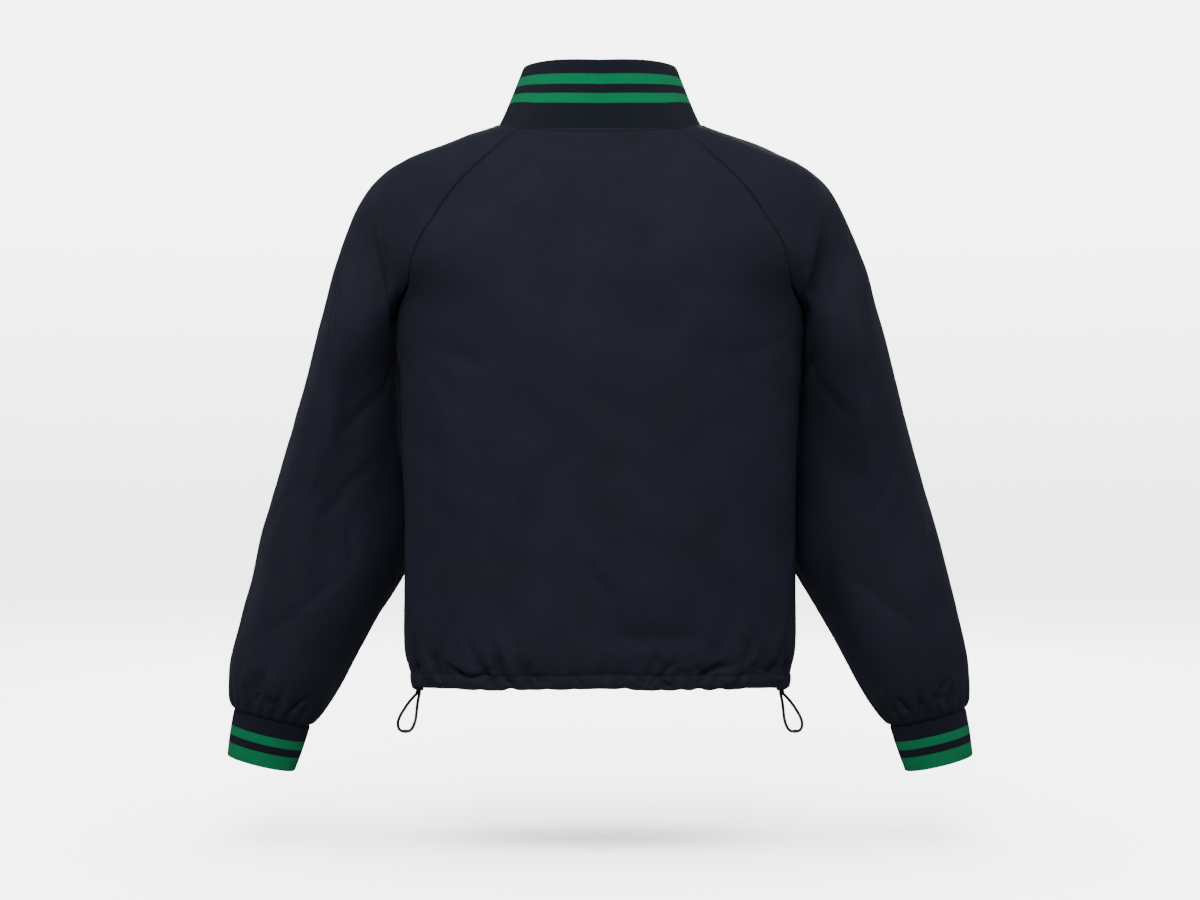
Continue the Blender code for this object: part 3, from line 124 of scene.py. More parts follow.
# How long and how high the waves of the soft hanging are.
DRAPE_WAVES = ((0.21, 0.0012), (0.12, 0.0008), (0.07, 0.00042), (0.041, 0.0002), (0.024, 0.00008))
GATHER_SEED = {Panel.BACK: 11, Panel.FRONT: 12}
PUCKER_SEED = {Side.LEFT: 31, Side.RIGHT: 32}
BODY_DRAPE_SEED = 21
SLEEVE_DRAPE_SEED = {Side.LEFT: 41, Side.RIGHT: 42}
# The least and most of a small cuff pucker's shift round the cuff, half_angle, reach and depth.
SMALL_PUCKERS = ((-4, 2.0, 7, 0.4), (4, 3.4, 20, 1.4))
NOTCH_HALF_WIDTH = 0.0055
NOTCH_REACH = 0.012
HEM_STITCH_V = 1.964
# Where each green stripe starts and ends, as shares of the height. The cuff's last one is its end.
COLLAR_STRIPES = ((0.649, 0.8025), (0.3645, 0.5115))
CUFF_STRIPES = ((0.358, 0.547), (0.716, 1.3))
NECK_STITCH_DISTANCE = 0.005
ZIP_STITCH_ASIDE = 0.0095
ZIP_STITCH_BELOW_V = 0.016
ZIP_SLOT_HALF_WIDTH = 0.0045
ZIP_BOTTOM_V = 1.08
FOLD_COLUMN = 0.34
FOLD_REACH = 0.09
FRONT_FOLD_SHARE = 0.75
CORD_Y = 0.0010
MIRROR = np.array([-1.0, 1.0, 1.0])
MERGE = 1e-6
WINDOW = ((-1.0, 0.05), (-0.66, 0.14), (-0.33, 0.2), (0.0, 0.22), (0.33, 0.2), (0.66, 0.14), (1.0, 0.05))


class Table:
    """Rows of numbers with named columns, read by a monotone cubic spline and a short average."""

    def __init__(self, names: str, window: float, rows: Sequence[Sequence[float]]) -> None:
        """Keeps the rows.

        Args:
            names: the columns' names, with spaces between them.
            window: how far to each side the average reaches, in the first column's unit.
            rows: the numbers, the first column rising.
        """
        self.names = names.split()
        self.window = window
        self.rows = np.array(rows, float)

    def spline(self, name: str, station: Grid) -> Grid:
        """The monotone cubic (weighted harmonic mean of the neighbouring slopes) at the stations.

        Args:
            name: the column.
            station: where it is read.

        Returns:
            The column's value at each station.
        """
        where = self.rows[:, 0]
        value = self.rows[:, self.names.index(name)]
        step = np.diff(where)
        slope = np.diff(value) / step
        same_sign = slope[:-1] * slope[1:] > 0
        weight_a = 2 * step[1:] + step[:-1]
        weight_b = step[1:] + 2 * step[:-1]
        left = np.where(same_sign, slope[:-1], 1.0)
        right = np.where(same_sign, slope[1:], 1.0)
        mean = (weight_a + weight_b) / (weight_a / left + weight_b / right)
        tangent = np.concatenate([slope[:1], np.where(same_sign, mean, 0.0), slope[-1:]])
        k = np.clip(np.searchsorted(where, station, side="right") - 1, 0, len(step) - 1)
        t = (station - where[k]) / step[k]
        start = (1 + 2 * t) * (1 - t) ** 2 * value[k] + t * (1 - t) ** 2 * step[k] * tangent[k]
        return start + t * t * (3 - 2 * t) * value[k + 1] + t * t * (t - 1) * step[k] * tangent[k + 1]

    def at(self, name: str, station: Grid | float) -> Grid:
        """The spline averaged over the window, which shrinks to nothing at both ends.

        Args:
            name: the column.
            station: where it is read, held inside the table.

        Returns:
            The column's value at each station.
        """
        first, last = self.rows[0, 0], self.rows[-1, 0]
        station = np.clip(np.asarray(station, float), first, last)
        half = np.minimum(self.window, np.minimum(station - first, last - station))
        return sum(weight * self.spline(name, station + offset * half) for offset, weight in WINDOW)


# The level sections of the body at the depth below the neck base.
BODY = Table(
    "down half_width back front power",
    0.009,
    [
        (-0.004, 0.104, 0.09, 0.07, 2.1), (0, 0.112, 0.0915, 0.076, 2.1),
        (0.006, 0.133, 0.0926, 0.082, 2.1), (0.0132, 0.154, 0.094, 0.086, 2.12),
        (0.0253, 0.192, 0.0975, 0.0895, 2.18), (0.044, 0.231, 0.1022, 0.0925, 2.25),
        (0.065, 0.253, 0.107, 0.0965, 2.32), (0.0935, 0.269, 0.112, 0.104, 2.42),
        (0.125, 0.283, 0.1158, 0.112, 2.52), (0.14, 0.277, 0.1172, 0.115, 2.55),
        (0.155, 0.263, 0.1184, 0.118, 2.55), (0.17, 0.243, 0.1194, 0.1205, 2.55),
        (0.182, 0.23, 0.12, 0.1225, 2.55), (0.192, 0.2245, 0.1206, 0.124, 2.55),
        (0.205, 0.222, 0.1212, 0.125, 2.55), (0.22, 0.2208, 0.1218, 0.126, 2.55),
        (0.274, 0.218, 0.1226, 0.1275, 2.55), (0.35, 0.215, 0.1222, 0.1275, 2.55),
        (0.428, 0.2132, 0.1212, 0.1262, 2.52), (0.49, 0.2138, 0.121, 0.1255, 2.5),
        (0.55, 0.2142, 0.1212, 0.125, 2.48), (0.575, 0.2125, 0.1195, 0.123, 2.48),
        (0.59, 0.2075, 0.114, 0.1175, 2.48), (0.605, 0.206, 0.1125, 0.116, 2.48),
    ],
)

# The raglan seams: how far round the section, in degrees from the side, at each depth.
SEAMS = {
    Panel.BACK: Table(
        "v down around",
        0.05,
        [
            (0, 0.0078, 44.5), (0.06, 0.013, 41), (0.22, 0.0395, 36.6), (0.36, 0.063, 32.6),
            (0.5, 0.0874, 30), (0.6, 0.1086, 28.6), (0.7, 0.133, 26.6), (0.8, 0.1571, 24.3),
            (0.87, 0.1779, 20.3), (0.92, 0.1897, 15.5), (0.96, 0.203, 8.5), (1, 0.215, 0),
        ],
    ),
    Panel.FRONT: Table(
        "v down around",
        0.05,
        [
            (0, 0.031, 50.5), (0.1, 0.04, 45), (0.25, 0.06, 38), (0.4, 0.083, 33), (0.55, 0.108, 29.5),
            (0.7, 0.136, 26.5), (0.8, 0.158, 24), (0.87, 0.177, 20), (0.93, 0.192, 13), (1, 0.215, 0),
        ],
    ),
}
# The centre lines of the panels at the same stations.
CENTRE = Table(
    "v back front",
    0.06,
    [
        (0, 0.0107, 0.065), (0.25, 0.048, 0.093), (0.5, 0.095, 0.123), (0.75, 0.15, 0.165),
        (1, 0.215, 0.215),
    ],
)

# The sleeve's outer line and its depth to the back and front, from the neck (0) to the cuff (2).
SLEEVE = Table(
    "v x y z back front",
    0.05,
    [
        (0, 0.1115, 0, 0.0014, 0.03, 0.034), (0.1, 0.141, -0.001, -0.0085, 0.031, 0.035),
        (0.22, 0.185, -0.003, -0.0235, 0.034, 0.037), (0.36, 0.224, -0.005, -0.0405, 0.039, 0.041),
        (0.5, 0.251, -0.007, -0.064, 0.044, 0.045), (0.6, 0.266, -0.009, -0.09, 0.0475, 0.049),
        (0.7, 0.278, -0.011, -0.117, 0.0515, 0.0545), (0.8, 0.2875, -0.013, -0.142, 0.056, 0.061),
        (0.9, 0.2955, -0.014, -0.166, 0.061, 0.07), (1, 0.3025, -0.015, -0.19, 0.066, 0.078),
        (1.06, 0.3095, -0.019, -0.218, 0.072, 0.079), (1.15, 0.319, -0.025, -0.258, 0.077, 0.078),
        (1.25, 0.33, -0.03, -0.298, 0.079, 0.076), (1.4, 0.35, -0.031, -0.365, 0.077, 0.073),
        (1.52, 0.3685, -0.031, -0.425, 0.072, 0.069), (1.65, 0.3855, -0.03, -0.494, 0.066, 0.064),
        (1.77, 0.3985, -0.028, -0.547, 0.059, 0.058), (1.88, 0.408, -0.026, -0.591, 0.0525, 0.0515),
        (1.95, 0.409, -0.025, -0.618, 0.046, 0.045), (2, 0.4045, -0.025, -0.633, 0.038, 0.037),
    ],
)
# Its inner line beside the torso below the underarm, and how far it leans away sideways.
SLEEVE_INNER = Table(
    "v x y z lean",
    0.05,
    [
        (1, 0.2222, 0, -0.2152, 0), (1.06, 0.2208, -0.014, -0.242, 0.1),
        (1.15, 0.2165, -0.034, -0.283, 0.22), (1.25, 0.2132, -0.044, -0.327, 0.26),
        (1.4, 0.2088, -0.05, -0.398, 0.27), (1.52, 0.21, -0.049, -0.46, 0.24),
        (1.65, 0.242, -0.036, -0.527, 0.08), (1.77, 0.269, -0.029, -0.579, 0.02),
        (1.88, 0.287, -0.026, -0.614, 0), (1.95, 0.3035, -0.025, -0.639, 0),
        (2, 0.3175, -0.025, -0.6545, 0),
    ],
)
# The fold behind the armhole: where it lies along each arc and how deep it drops.
ARMHOLE_FOLD = Table(
    "v at depth",
    0.04,
    [
        (0, 0.4, 0), (0.24, 0.48, 0), (0.44, 0.66, 0.0006), (0.54, 0.64, 0.005), (0.63, 0.47, 0.011),
        (0.72, 0.31, 0.0165), (0.8, 0.2, 0.0195), (0.87, 0.15, 0.018), (0.93, 0.13, 0.013),
        (1, 0.12, 0.005), (1.1, 0.16, 0), (1.4, 0.34, 0),
    ],
)
# The collar's top edge round from the centre back (0) to the centre front (1).
COLLAR_TOP = Table(
    "round height angle",
    0.06,
    [
        (0, 0.061, 0), (0.25, 0.0636, 44), (0.42, 0.064, 76), (0.55, 0.057, 100), (0.75, 0.033, 136),
        (0.9, 0.013, 163), (1, 0.0075, 180),
    ],
)

# Soft folds of the body in millimetres: from_x, from_down, to_x, to_down, half_width, depth.
BODY_FOLDS = {
    Panel.BACK: [
        (180, 300, 176, 560, 16, 4.2), (70, 400, 94, 560, 15, 3), (-75, 40, 75, 40, 10, -1.2),
        (16, 470, -14, 512, 7, 2.2), (-128, 350, -176, 530, 12, -3), (-10, 548, -106, 548, 12, 3),
    ],
    Panel.FRONT: [
        (150, 270, 170, 520, 16, 3.8), (-156, 290, -166, 540, 15, 3.4), (60, 400, 85, 560, 14, 2.8),
        (-45, 430, -70, 560, 13, 2.6),
    ],
}
# Finer creases in the same columns, with how far the line bows to one side. They are in the
# looks alone: one flank of each is steeper than the other.
BODY_CREASES = {
    Panel.BACK: [
        (74, 20, -68, 18, 9, 2.6, 19), (205, 225, 120, 262, 8, 1.7, 6), (208, 240, 150, 315, 7, 1.5, -8),
        (-206, 226, -132, 252, 7.5, 1.6, -5), (-208, 244, -160, 330, 8, 1.5, 9),
        (118, 118, 40, 205, 14, 1.1, 12), (-112, 126, -48, 232, 15, 1.1, -14),
        (60, 30, 105, 85, 8.5, 0.9, 4), (-55, 32, -98, 78, 8, 0.9, -5), (150, 430, 112, 575, 9.5, 1.6, 10),
        (35, 480, 50, 585, 8.5, 1.3, -6), (-62, 500, -40, 590, 8, 1.4, 5),
        (-145, 455, -120, 575, 9, 1.5, -9), (196, 470, 190, 590, 8, 1.8, 4),
        (-198, 420, -196, 570, 8.5, 1.7, -6), (20, 250, -60, 345, 18, 1.2, 16),
        (95, 300, 30, 420, 16, 1.2, -14), (-150, 300, -70, 400, 15, 1.2, 12),
    ],
    Panel.FRONT: [
        (206, 228, 118, 250, 8, 1.8, 6), (208, 242, 140, 320, 7.5, 1.6, -8),
        (-206, 226, -126, 258, 8, 1.8, -5), (-208, 246, -150, 335, 7.5, 1.6, 9),
        (16, 262, 70, 330, 11, 1.6, 7), (-14, 264, -62, 352, 11, 1.6, -8), (12, 180, 75, 232, 12, 1.2, 6),
        (-12, 160, -82, 215, 12, 1.2, -7), (110, 430, 130, 575, 9.5, 1.6, 9),
        (-105, 440, -128, 580, 9, 1.6, -8), (10, 490, 20, 590, 8.5, 1.3, 4), (85, 330, 0, 430, 17, 1.2, 14),
        (-130, 330, -40, 420, 16, 1.2, -12),
    ],
}
# Gathers over the cord tunnel: along the hem, lean, half_width, reach up, depth. All but the
# lean are in millimetres.
GATHERS = {
    Panel.BACK: [
        (240, -0.1, 6.3, 33, 5.7), (215, -0.25, 6.3, 40, 7), (184, -0.5, 6.3, 66, 8.4),
        (164, -0.2, 5.7, 37, 6.8), (143, 0.15, 5.2, 29, 5.7), (122, 0, 6.3, 33, 6.2),
        (111, 0.4, 5.7, 46, 9.2), (92, 0.1, 5.7, 24, 5.4), (73, 0.25, 6.3, 37, 7), (50, -0.1, 6.3, 26, 4.6),
        (24, 0.1, 6.5, 24, 4.3), (-2, -0.2, 6.3, 29, 5.4), (-21, 0.1, 6, 26, 5.1), (-44, -0.35, 6, 35, 6.5),
        (-62, -0.1, 6, 29, 5.9), (-82, 0.2, 5.7, 40, 7), (-104, -0.2, 6.3, 31, 6.5),
        (-122, 0.1, 5.7, 33, 6.8), (-143, -0.3, 5.7, 48, 8.1), (-167, 0.3, 5.7, 40, 7.6),
        (-190, 0.55, 6, 64, 8.4), (-216, 0.25, 6.3, 35, 6.8), (-242, 0.1, 6.3, 31, 5.7),
    ],
    Panel.FRONT: [
        (240, -0.1, 6.3, 33, 5.7), (212, -0.3, 6.3, 37, 6.8), (180, -0.4, 6.3, 55, 7.8),
        (150, 0.1, 5.7, 31, 6.2), (128, -0.2, 6, 40, 7), (104, 0.3, 5.7, 33, 6.5), (80, 0, 6.3, 29, 5.4),
        (54, 0.2, 6.3, 33, 5.7), (28, -0.15, 6.3, 26, 4.9), (2, 0.15, 6.3, 31, 5.4),
        (-26, -0.1, 6.3, 26, 5.1), (-52, 0.25, 6, 37, 6.2), (-78, -0.2, 6, 31, 5.9),
        (-101, 0.1, 5.7, 35, 6.8), (-126, -0.3, 6, 44, 7.3), (-149, 0.2, 5.7, 33, 6.5),
        (-178, 0.45, 6.3, 59, 8.1), (-210, 0.25, 6.3, 37, 6.8), (-240, 0.1, 6.3, 31, 5.7),
    ],
}
# Sharp tucks of the back's hem, which are in the looks alone. Each is a curve through three
# places, from the hem up: x and down three times, the half width of its steep flank and of its
# gentle one, and its height (a trough's is negative), all in millimetres.
HEM_TUCKS = [
    (178.1, 596.5, 195, 563.8, 202.4, 500.6, 2.2, 9, 2.4),
    (170.7, 597.5, 185.5, 580.7, 197.1, 551.2, 2, 6, 1.4),
    (198.2, 588, 196, 582.8, 192.9, 576.5, 2.5, 3.5, -3),
    (165.5, 597.5, 175, 580.7, 190.8, 559.6, 2.2, 6, -2.6),
    (159.2, 597.5, 172.9, 580.7, 167.6, 568, 1.8, 4, 1.5),
    (124.4, 590.2, 149.7, 579.6, 167.6, 568, 2, 7, 2.2), (117, 587, 141.2, 588, 166.5, 573.3, 2.4, 4, -2.8),
    (92.8, 597.5, 101.2, 563.8, 117, 536.4, 2.2, 8, 2),
    (105.4, 585.9, 106.5, 576.5, 111.7, 563.8, 2.8, 5, -3.6),
    (90.6, 597.5, 99.1, 591.2, 106.5, 582.8, 1.8, 3, -2.8),
    (103.3, 597.5, 105.4, 591.2, 105.4, 583.8, 1.8, 2.6, -2.2),
    (118, 579.6, 111.7, 579.6, 105.4, 583.8, 1.8, 2.6, -1.6),
    (117, 597.5, 111.7, 591.2, 106.5, 583.8, 1.8, 3, -1.2),
    (62.2, 596.5, 66.4, 590.2, 70.6, 582.8, 1.8, 2.8, -2.2),
    (74.8, 597.5, 73.8, 591.2, 70.6, 582.8, 1.8, 2.8, -2),
    (78, 579.6, 74.8, 582.8, 70.6, 583.8, 1.8, 2.6, -1.2),
    (72.7, 573.3, 71.7, 578.6, 70.6, 583.8, 1.8, 2.8, -1.8),
    (54.8, 595.4, 62.2, 589.1, 69.6, 583.8, 1.8, 3, -1),
    (83.3, 558.5, 86.4, 555.4, 85.4, 549.1, 1.8, 2.4, -1.3),
    (150.7, 563.8, 156, 540.6, 153.9, 509, 3, 8, -1.6),
    (148.6, 572.2, 149.7, 553.3, 145.5, 530.1, 2.2, 5, 1),
    (19, 597.5, 23.2, 591.2, 28.5, 585.9, 1.8, 3, -0.8),
    (-22.1, 593.3, -27.4, 587, -32.7, 583.8, 1.8, 3, -0.8),
    (-47.4, 595.4, -40.1, 589.1, -33.7, 583.8, 1.8, 3, -0.9),
    (-51.6, 598.6, -58, 590.2, -65.3, 583.8, 2, 4, -1.6),
    (-73.8, 597.5, -65.3, 591.2, -68.5, 582.8, 1.8, 2.8, -3),
    (-68.5, 583.8, -72.7, 578.6, -82.2, 572.2, 1.8, 3.2, -2),
    (-60.1, 564.9, -62.2, 574.3, -68.5, 582.8, 2, 4, -1),
    (-80.1, 597.5, -76.9, 593.3, -71.7, 589.1, 1.8, 3, -1),
    (-94.9, 597.5, -93.8, 591.2, -90.6, 583.8, 2.2, 4, -1.6),
    (-84.3, 580.7, -88.5, 584.9, -94.9, 583.8, 1.8, 2.6, -1.5),
    (-105.4, 575.4, -99.1, 580.7, -92.8, 584.9, 2, 4, -1),
    (-107.5, 588, -120.2, 582.8, -147.6, 575.4, 2, 6, -3),
    (-108.6, 584.9, -118, 575.4, -130.7, 569.1, 2, 7, 1.8),
    (-104.3, 595.4, -109.6, 590.2, -115.9, 585.9, 1.8, 3, -1.8),
    (-124.4, 597.5, -123.3, 591.2, -121.2, 584.9, 2, 4, -1.6),
    (-147.6, 551.2, -151.8, 567, -143.3, 576.5, 3, 7, -1.6),
    (-130.7, 597.5, -145.5, 587, -177.1, 563.8, 2, 7, 1.8),
    (-140.2, 597.5, -144.4, 591.2, -146.5, 587, 1.8, 3, 1.2),
    (-176, 587, -188.7, 561.7, -202.4, 515.3, 2.2, 7, 2.2),
    (-190.8, 597.5, -196, 563.8, -205.5, 496.4, 2, 6, 2),
    (-170.7, 597.5, -177.1, 591.2, -164.4, 585.9, 1.8, 3, 1.2),
    (-175, 597.5, -181.3, 591.2, -173.9, 585.9, 1.8, 3, 1.2),
    (-182.3, 597.5, -191.8, 591.2, -182.3, 584.9, 1.8, 3, 1.2),
    (-199.2, 587, -201.3, 581.7, -205.5, 577.5, 2.2, 3.5, -2.6),
    (-180.2, 589.1, -181.3, 583.8, -187.6, 576.5, 2.2, 4, -1.8),
    (-164.4, 580.7, -167.6, 583.8, -170.7, 587, 1.8, 3, -1.2),
]
# The same for the back of each sleeve, in the left one's place. The front takes the other's.
SLEEVE_TUCKS = {
    Side.LEFT: [
        (286.2, 284.6, 277.7, 201.1, 262.7, 106.9, 2.8, 13, 5.2),
        (288.4, 345.5, 287.3, 310.2, 285.2, 281.3, 4, 9, 1.8),
        (316.2, 495.3, 311.9, 404.4, 299.1, 318.8, 4.2, 13, 3),
        (216.7, 222.5, 229.5, 156.2, 244.5, 79.1, 1.1, 10, 4.2),
        (222, 213.9, 235.9, 153, 246.6, 102.7, 4, 4, -1.9),
        (247.7, 209.7, 255.2, 163.6, 260.5, 124.1, 3, 8, 1.2),
        (307.6, 413, 308.7, 399.1, 301.2, 383, 3, 4, -1.4),
        (267, 473.9, 271.2, 449.3, 272.3, 423.7, 3, 6, -1.6),
        (388.9, 607.7, 382.5, 588.4, 377.2, 556.3, 3, 6, 2.3),
        (364.3, 619.5, 360.1, 603.4, 355.8, 586.3, 2.5, 5, 2.3),
        (370.8, 614.1, 368.6, 601.3, 364.3, 588.4, 5, 5, -2.7),
        (372.9, 624.8, 371.8, 618.4, 369.7, 613, 1.6, 2.2, -3.5),
        (357.9, 628, 357.9, 621.6, 360.1, 616.3, 1.7, 2.2, -3),
        (352.6, 629.1, 351.5, 623.8, 348.3, 619.5, 1.6, 2.2, -1.9),
        (335.4, 634.4, 324.7, 624.8, 313, 617.3, 2.2, 4.5, -4.3),
        (326.9, 638.7, 329, 634.4, 332.2, 630.2, 1.6, 2, -1.6),
        (321.5, 639.8, 322.6, 635.5, 323.7, 631.2, 1.6, 2, -1.6),
        (309.8, 635.5, 301.2, 621.6, 291.6, 605.6, 3, 6, 1.8),
    ],
    Side.RIGHT: [
        (284.1, 270.7, 275.5, 190.4, 264.8, 106.9, 2.8, 13, 5.2),
        (291.6, 383, 289.4, 324.1, 284.1, 265.3, 4.2, 13, 3),
        (360.1, 500.7, 350.4, 441.8, 337.6, 377.6, 5, 11, 2.4),
        (385.7, 607.7, 376.1, 564.9, 366.5, 516.8, 3, 8, 2.7),
        (210.3, 211.8, 222, 149.7, 240.2, 79.1, 1.1, 10, 4.2),
        (216.7, 211.8, 228.4, 151.9, 244.5, 99.4, 4, 4, -1.9),
        (212.4, 284.6, 226.3, 263.2, 239.1, 243.9, 6, 8, -3),
        (219.9, 204.3, 226.3, 190.4, 231.7, 177.6, 4, 6, -2),
        (255.2, 538.2, 249.8, 500.7, 247.7, 463.2, 7, 8, -2.2),
        (368.6, 617.3, 360.1, 599.1, 365.4, 587.4, 1.7, 3, 1.9),
        (371.8, 624.8, 370.8, 613, 372.9, 601.3, 2.2, 3.2, -3.8),
        (375, 616.3, 381.5, 601.3, 375, 587.4, 1.7, 3, 1.9),
        (349.4, 631.2, 348.3, 624.8, 344, 618.4, 1.8, 2.4, -3.1),
        (335.4, 635.5, 326.9, 625.9, 320.5, 617.3, 2, 3.8, -3.8),
        (326.9, 635.5, 324.7, 631.2, 322.6, 627, 1.6, 2, -1.8),
        (365.4, 624.8, 364.3, 619.5, 362.2, 615.2, 1.6, 2, -1.5),
        (313, 631.2, 305.5, 618.4, 299.1, 607.7, 3, 6, 1.6),
    ],
}
# Where the hem's edge is drawn up by a tuck: the place along the hem and the rise, in millimetres.
HEM_NOTCHES = [
    (93, 2.2), (54.8, 1), (28, 0.6), (-26.4, 1.4), (-63.2, 0.8), (-84.3, 1), (-103.3, 2), (-126.5, 1.8),
    (-156, 1), (126.5, 1), (154, 0.8),
]
# Soft folds and finer creases of the sleeves: from_v, from_turn, to_v, to_turn, half_turn,
# depth in millimetres. The turn is in degrees from the outer line over the back.
SLEEVE_FOLDS = {
    Side.LEFT: [
        (0.75, 40, 1.72, 62, 22, -4), (1.1, 94, 1.6, 104, 20, 3.4), (1.15, 250, 1.7, 268, 22, 3.6),
        (1.52, 24, 1.86, 34, 18, 2.6), (1.08, 140, 1.3, 88, 7, 1.6), (1.34, 128, 1.5, 84, 6.5, 1.5),
        (1.42, 60, 1.56, 18, 7, 1.2), (1.6, 110, 1.74, 72, 7, 1.4), (1.7, 66, 1.93, 78, 6.5, 1.5),
        (1.66, 20, 1.92, 12, 7, 1.4), (1.12, 225, 1.32, 280, 7, 1.6), (1.36, 232, 1.5, 286, 7, 1.5),
        (1.56, 300, 1.8, 320, 7, 1.4), (0.3, 60, 0.62, 30, 15, 1.2), (1.8, 330, 1.95, 342, 6, 1.4),
    ],
    Side.RIGHT: [
        (0.8, 36, 1.45, 74, 22, -3.6), (1.48, 38, 1.88, 30, 20, -3.6), (1.3, 112, 1.72, 96, 20, 3.2),
        (1.15, 262, 1.74, 246, 22, 3.6), (1.06, 134, 1.26, 92, 7, 1.6), (1.38, 58, 1.5, 96, 7, 1.5),
        (1.46, 14, 1.6, 52, 7.5, 1.3), (1.58, 124, 1.72, 80, 7, 1.4), (1.74, 54, 1.95, 62, 6.5, 1.5),
        (1.7, 12, 1.94, 6, 7, 1.3), (1.14, 228, 1.34, 276, 7, 1.6), (1.4, 236, 1.52, 290, 7, 1.5),
        (1.62, 296, 1.84, 312, 7, 1.4), (0.34, 52, 0.66, 26, 15, 1.2), (1.82, 336, 1.96, 350, 6, 1.4),
    ],
}
# Puckers above the cuff seam: angle from the outer line, half_angle, and in millimetres the
# reach and the depth.
CUFF_PUCKERS = [
    (4, 5, 20, 3), (26, 6, 30, 4), (44, 5, 18, 3.2), (63, 6, 26, 4.2), (80, 5, 18, 3.4), (97, 6, 34, 4.6),
    (116, 6, 22, 4), (134, 5, 28, 4), (152, 6, 20, 3.4), (172, 6, 24, 3.6), (194, 6, 20, 3.4),
    (214, 6, 30, 4), (235, 6, 22, 3.6), (256, 6, 28, 4.2), (276, 5, 20, 3.4), (297, 6, 26, 4),
    (319, 6, 20, 3.2), (341, 6, 24, 3.4),
]
# The left cord loop across (x) and up (z), from millimetres: down from the lock to the bead and
# back up.
OUTER_STRAND = np.array([
    (200, -616.6), (203.5, -620.5), (208.5, -626.2), (213.3, -633), (217.2, -639.5), (219.9, -645.2),
    (220.8, -650.3), (220.1, -654.2), (218.6, -656.7), (216.6, -657.9),
]) / 1000
INNER_STRAND = np.array([
    (210, -658.3), (207.5, -657.4), (205.1, -655), (203.1, -650.8), (201.3, -644.7), (200.4, -637.5),
    (199.6, -630), (198.5, -623), (197.2, -617.1),
]) / 1000


# ---------------- forms shared with the CAD part
def smoothstep(x: Grid) -> Grid:
    """3x^2 - 2x^3, with x held between 0 and 1."""
    x = np.clip(x, 0.0, 1.0)
    return x * x * (3 - 2 * x)


def bell(x: Grid, half_width: Grid | float) -> Grid:
    """e to the power of -(x / half_width)^2."""
    return np.exp(-((x / half_width) ** 2))


def stacked(*parts: Grid | float) -> Grid:
    """The parts side by side along a new last axis, each stretched to the shape of all."""
    return np.stack(np.broadcast_arrays(*parts), axis=-1)


def unit(vectors: Grid) -> Grid:
    """The vectors divided by their lengths."""
    return vectors / np.maximum(np.linalg.norm(vectors, axis=-1, keepdims=True), 1e-9)


def run_length(points: Grid, axis: int = 0) -> Grid:
    """The summed length of the steps between neighbouring points, from 0 at the first."""
    step = np.linalg.norm(np.diff(points, axis=axis), axis=-1)
    return np.concatenate([np.zeros_like(np.take(step, [0], axis)), np.cumsum(step, axis=axis)], axis=axis)


def along_line(at: Grid, length: Grid, line: Grid) -> Grid:
    """The rows of numbers that belong to a line, read where its run length is "at"."""
    return np.stack([np.interp(at, length, column) for column in line.T], axis=-1)


def grid_normals(grid: Grid) -> Grid:
    """Unit cross products of the grid's two directions."""
    return unit(np.cross(np.gradient(grid, axis=0), np.gradient(grid, axis=1)))


def body_point(panel: Panel, around: Grid, down: Grid) -> Grid:
    """A point of the body, where (cos a / width)^p + (sin a / depth)^p is 1 / radius^p.

    Args:
        panel: whose depth is taken.
        around: the angle from the side, in degrees.
        down: the depth below the neck base.

    Returns:
        The points, with one more axis for their three numbers.
    """
    angle = np.radians(np.clip(around, 0.0, 90.0))
    power = BODY.at("power", down)
    across = (np.cos(angle) / BODY.at("half_width", down)) ** power
    along = (np.sin(angle) / BODY.at(panel.value, down)) ** power
    radius = (across + along) ** (-1 / power)
    height = -down * np.ones_like(radius)
    return stacked(radius * np.cos(angle), panel.facing * radius * np.sin(angle), height)


def panel_place(panel: Panel, v: Grid, t: Grid) -> tuple[Grid, Grid, Grid]:
    """Where half a panel's rows and columns lie, from its centre line (t = 0) to its edge (1).

    The depth goes from the centre line's to the seam's by a power of t, and the angle falls
    from 90 degrees to the seam's, with the columns crowded to the side below the underarm.

    Args:
        panel: the panel.
        v: the rows' stations, 0 at the neck, 1 at the underarm and 2 at the hem.
        t: the columns, either one row of them or one for each of the rows.

    Returns:
        The angle round, the depth below the neck base and the height above the hem.
    """
    v = v[:, None]
    t = np.atleast_2d(t)
    upper = np.minimum(v, 1.0)
    lower = np.clip(v - 1.0, 0.0, 1.0)
    edge_down = SEAMS[panel].at("down", upper) + (HEM_DOWN_AT_SIDE - UNDERARM_DOWN) * lower
    centre_down = CENTRE.at(panel.value, upper) + (HEM_DOWN_AT_CENTRE - UNDERARM_DOWN) * lower
    rise = t ** ROW_BEND[panel]
    down = centre_down + (edge_down - centre_down) * rise
    hem_down = HEM_DOWN_AT_CENTRE + (HEM_DOWN_AT_SIDE - HEM_DOWN_AT_CENTRE) * rise
    share = t - SIDE_CROWDING * np.sin(math.tau * t) * lower
    around = 90.0 - (90.0 - SEAMS[panel].at("around", upper)) * share
    return around, down, hem_down - down


def panel_half(panel: Panel, v: Grid, t: Grid) -> Grid:
    """The points of half a panel, on the wearer's left, at the places of panel_place."""
    around, down, _ = panel_place(panel, v, t)
    return body_point(panel, around, down)


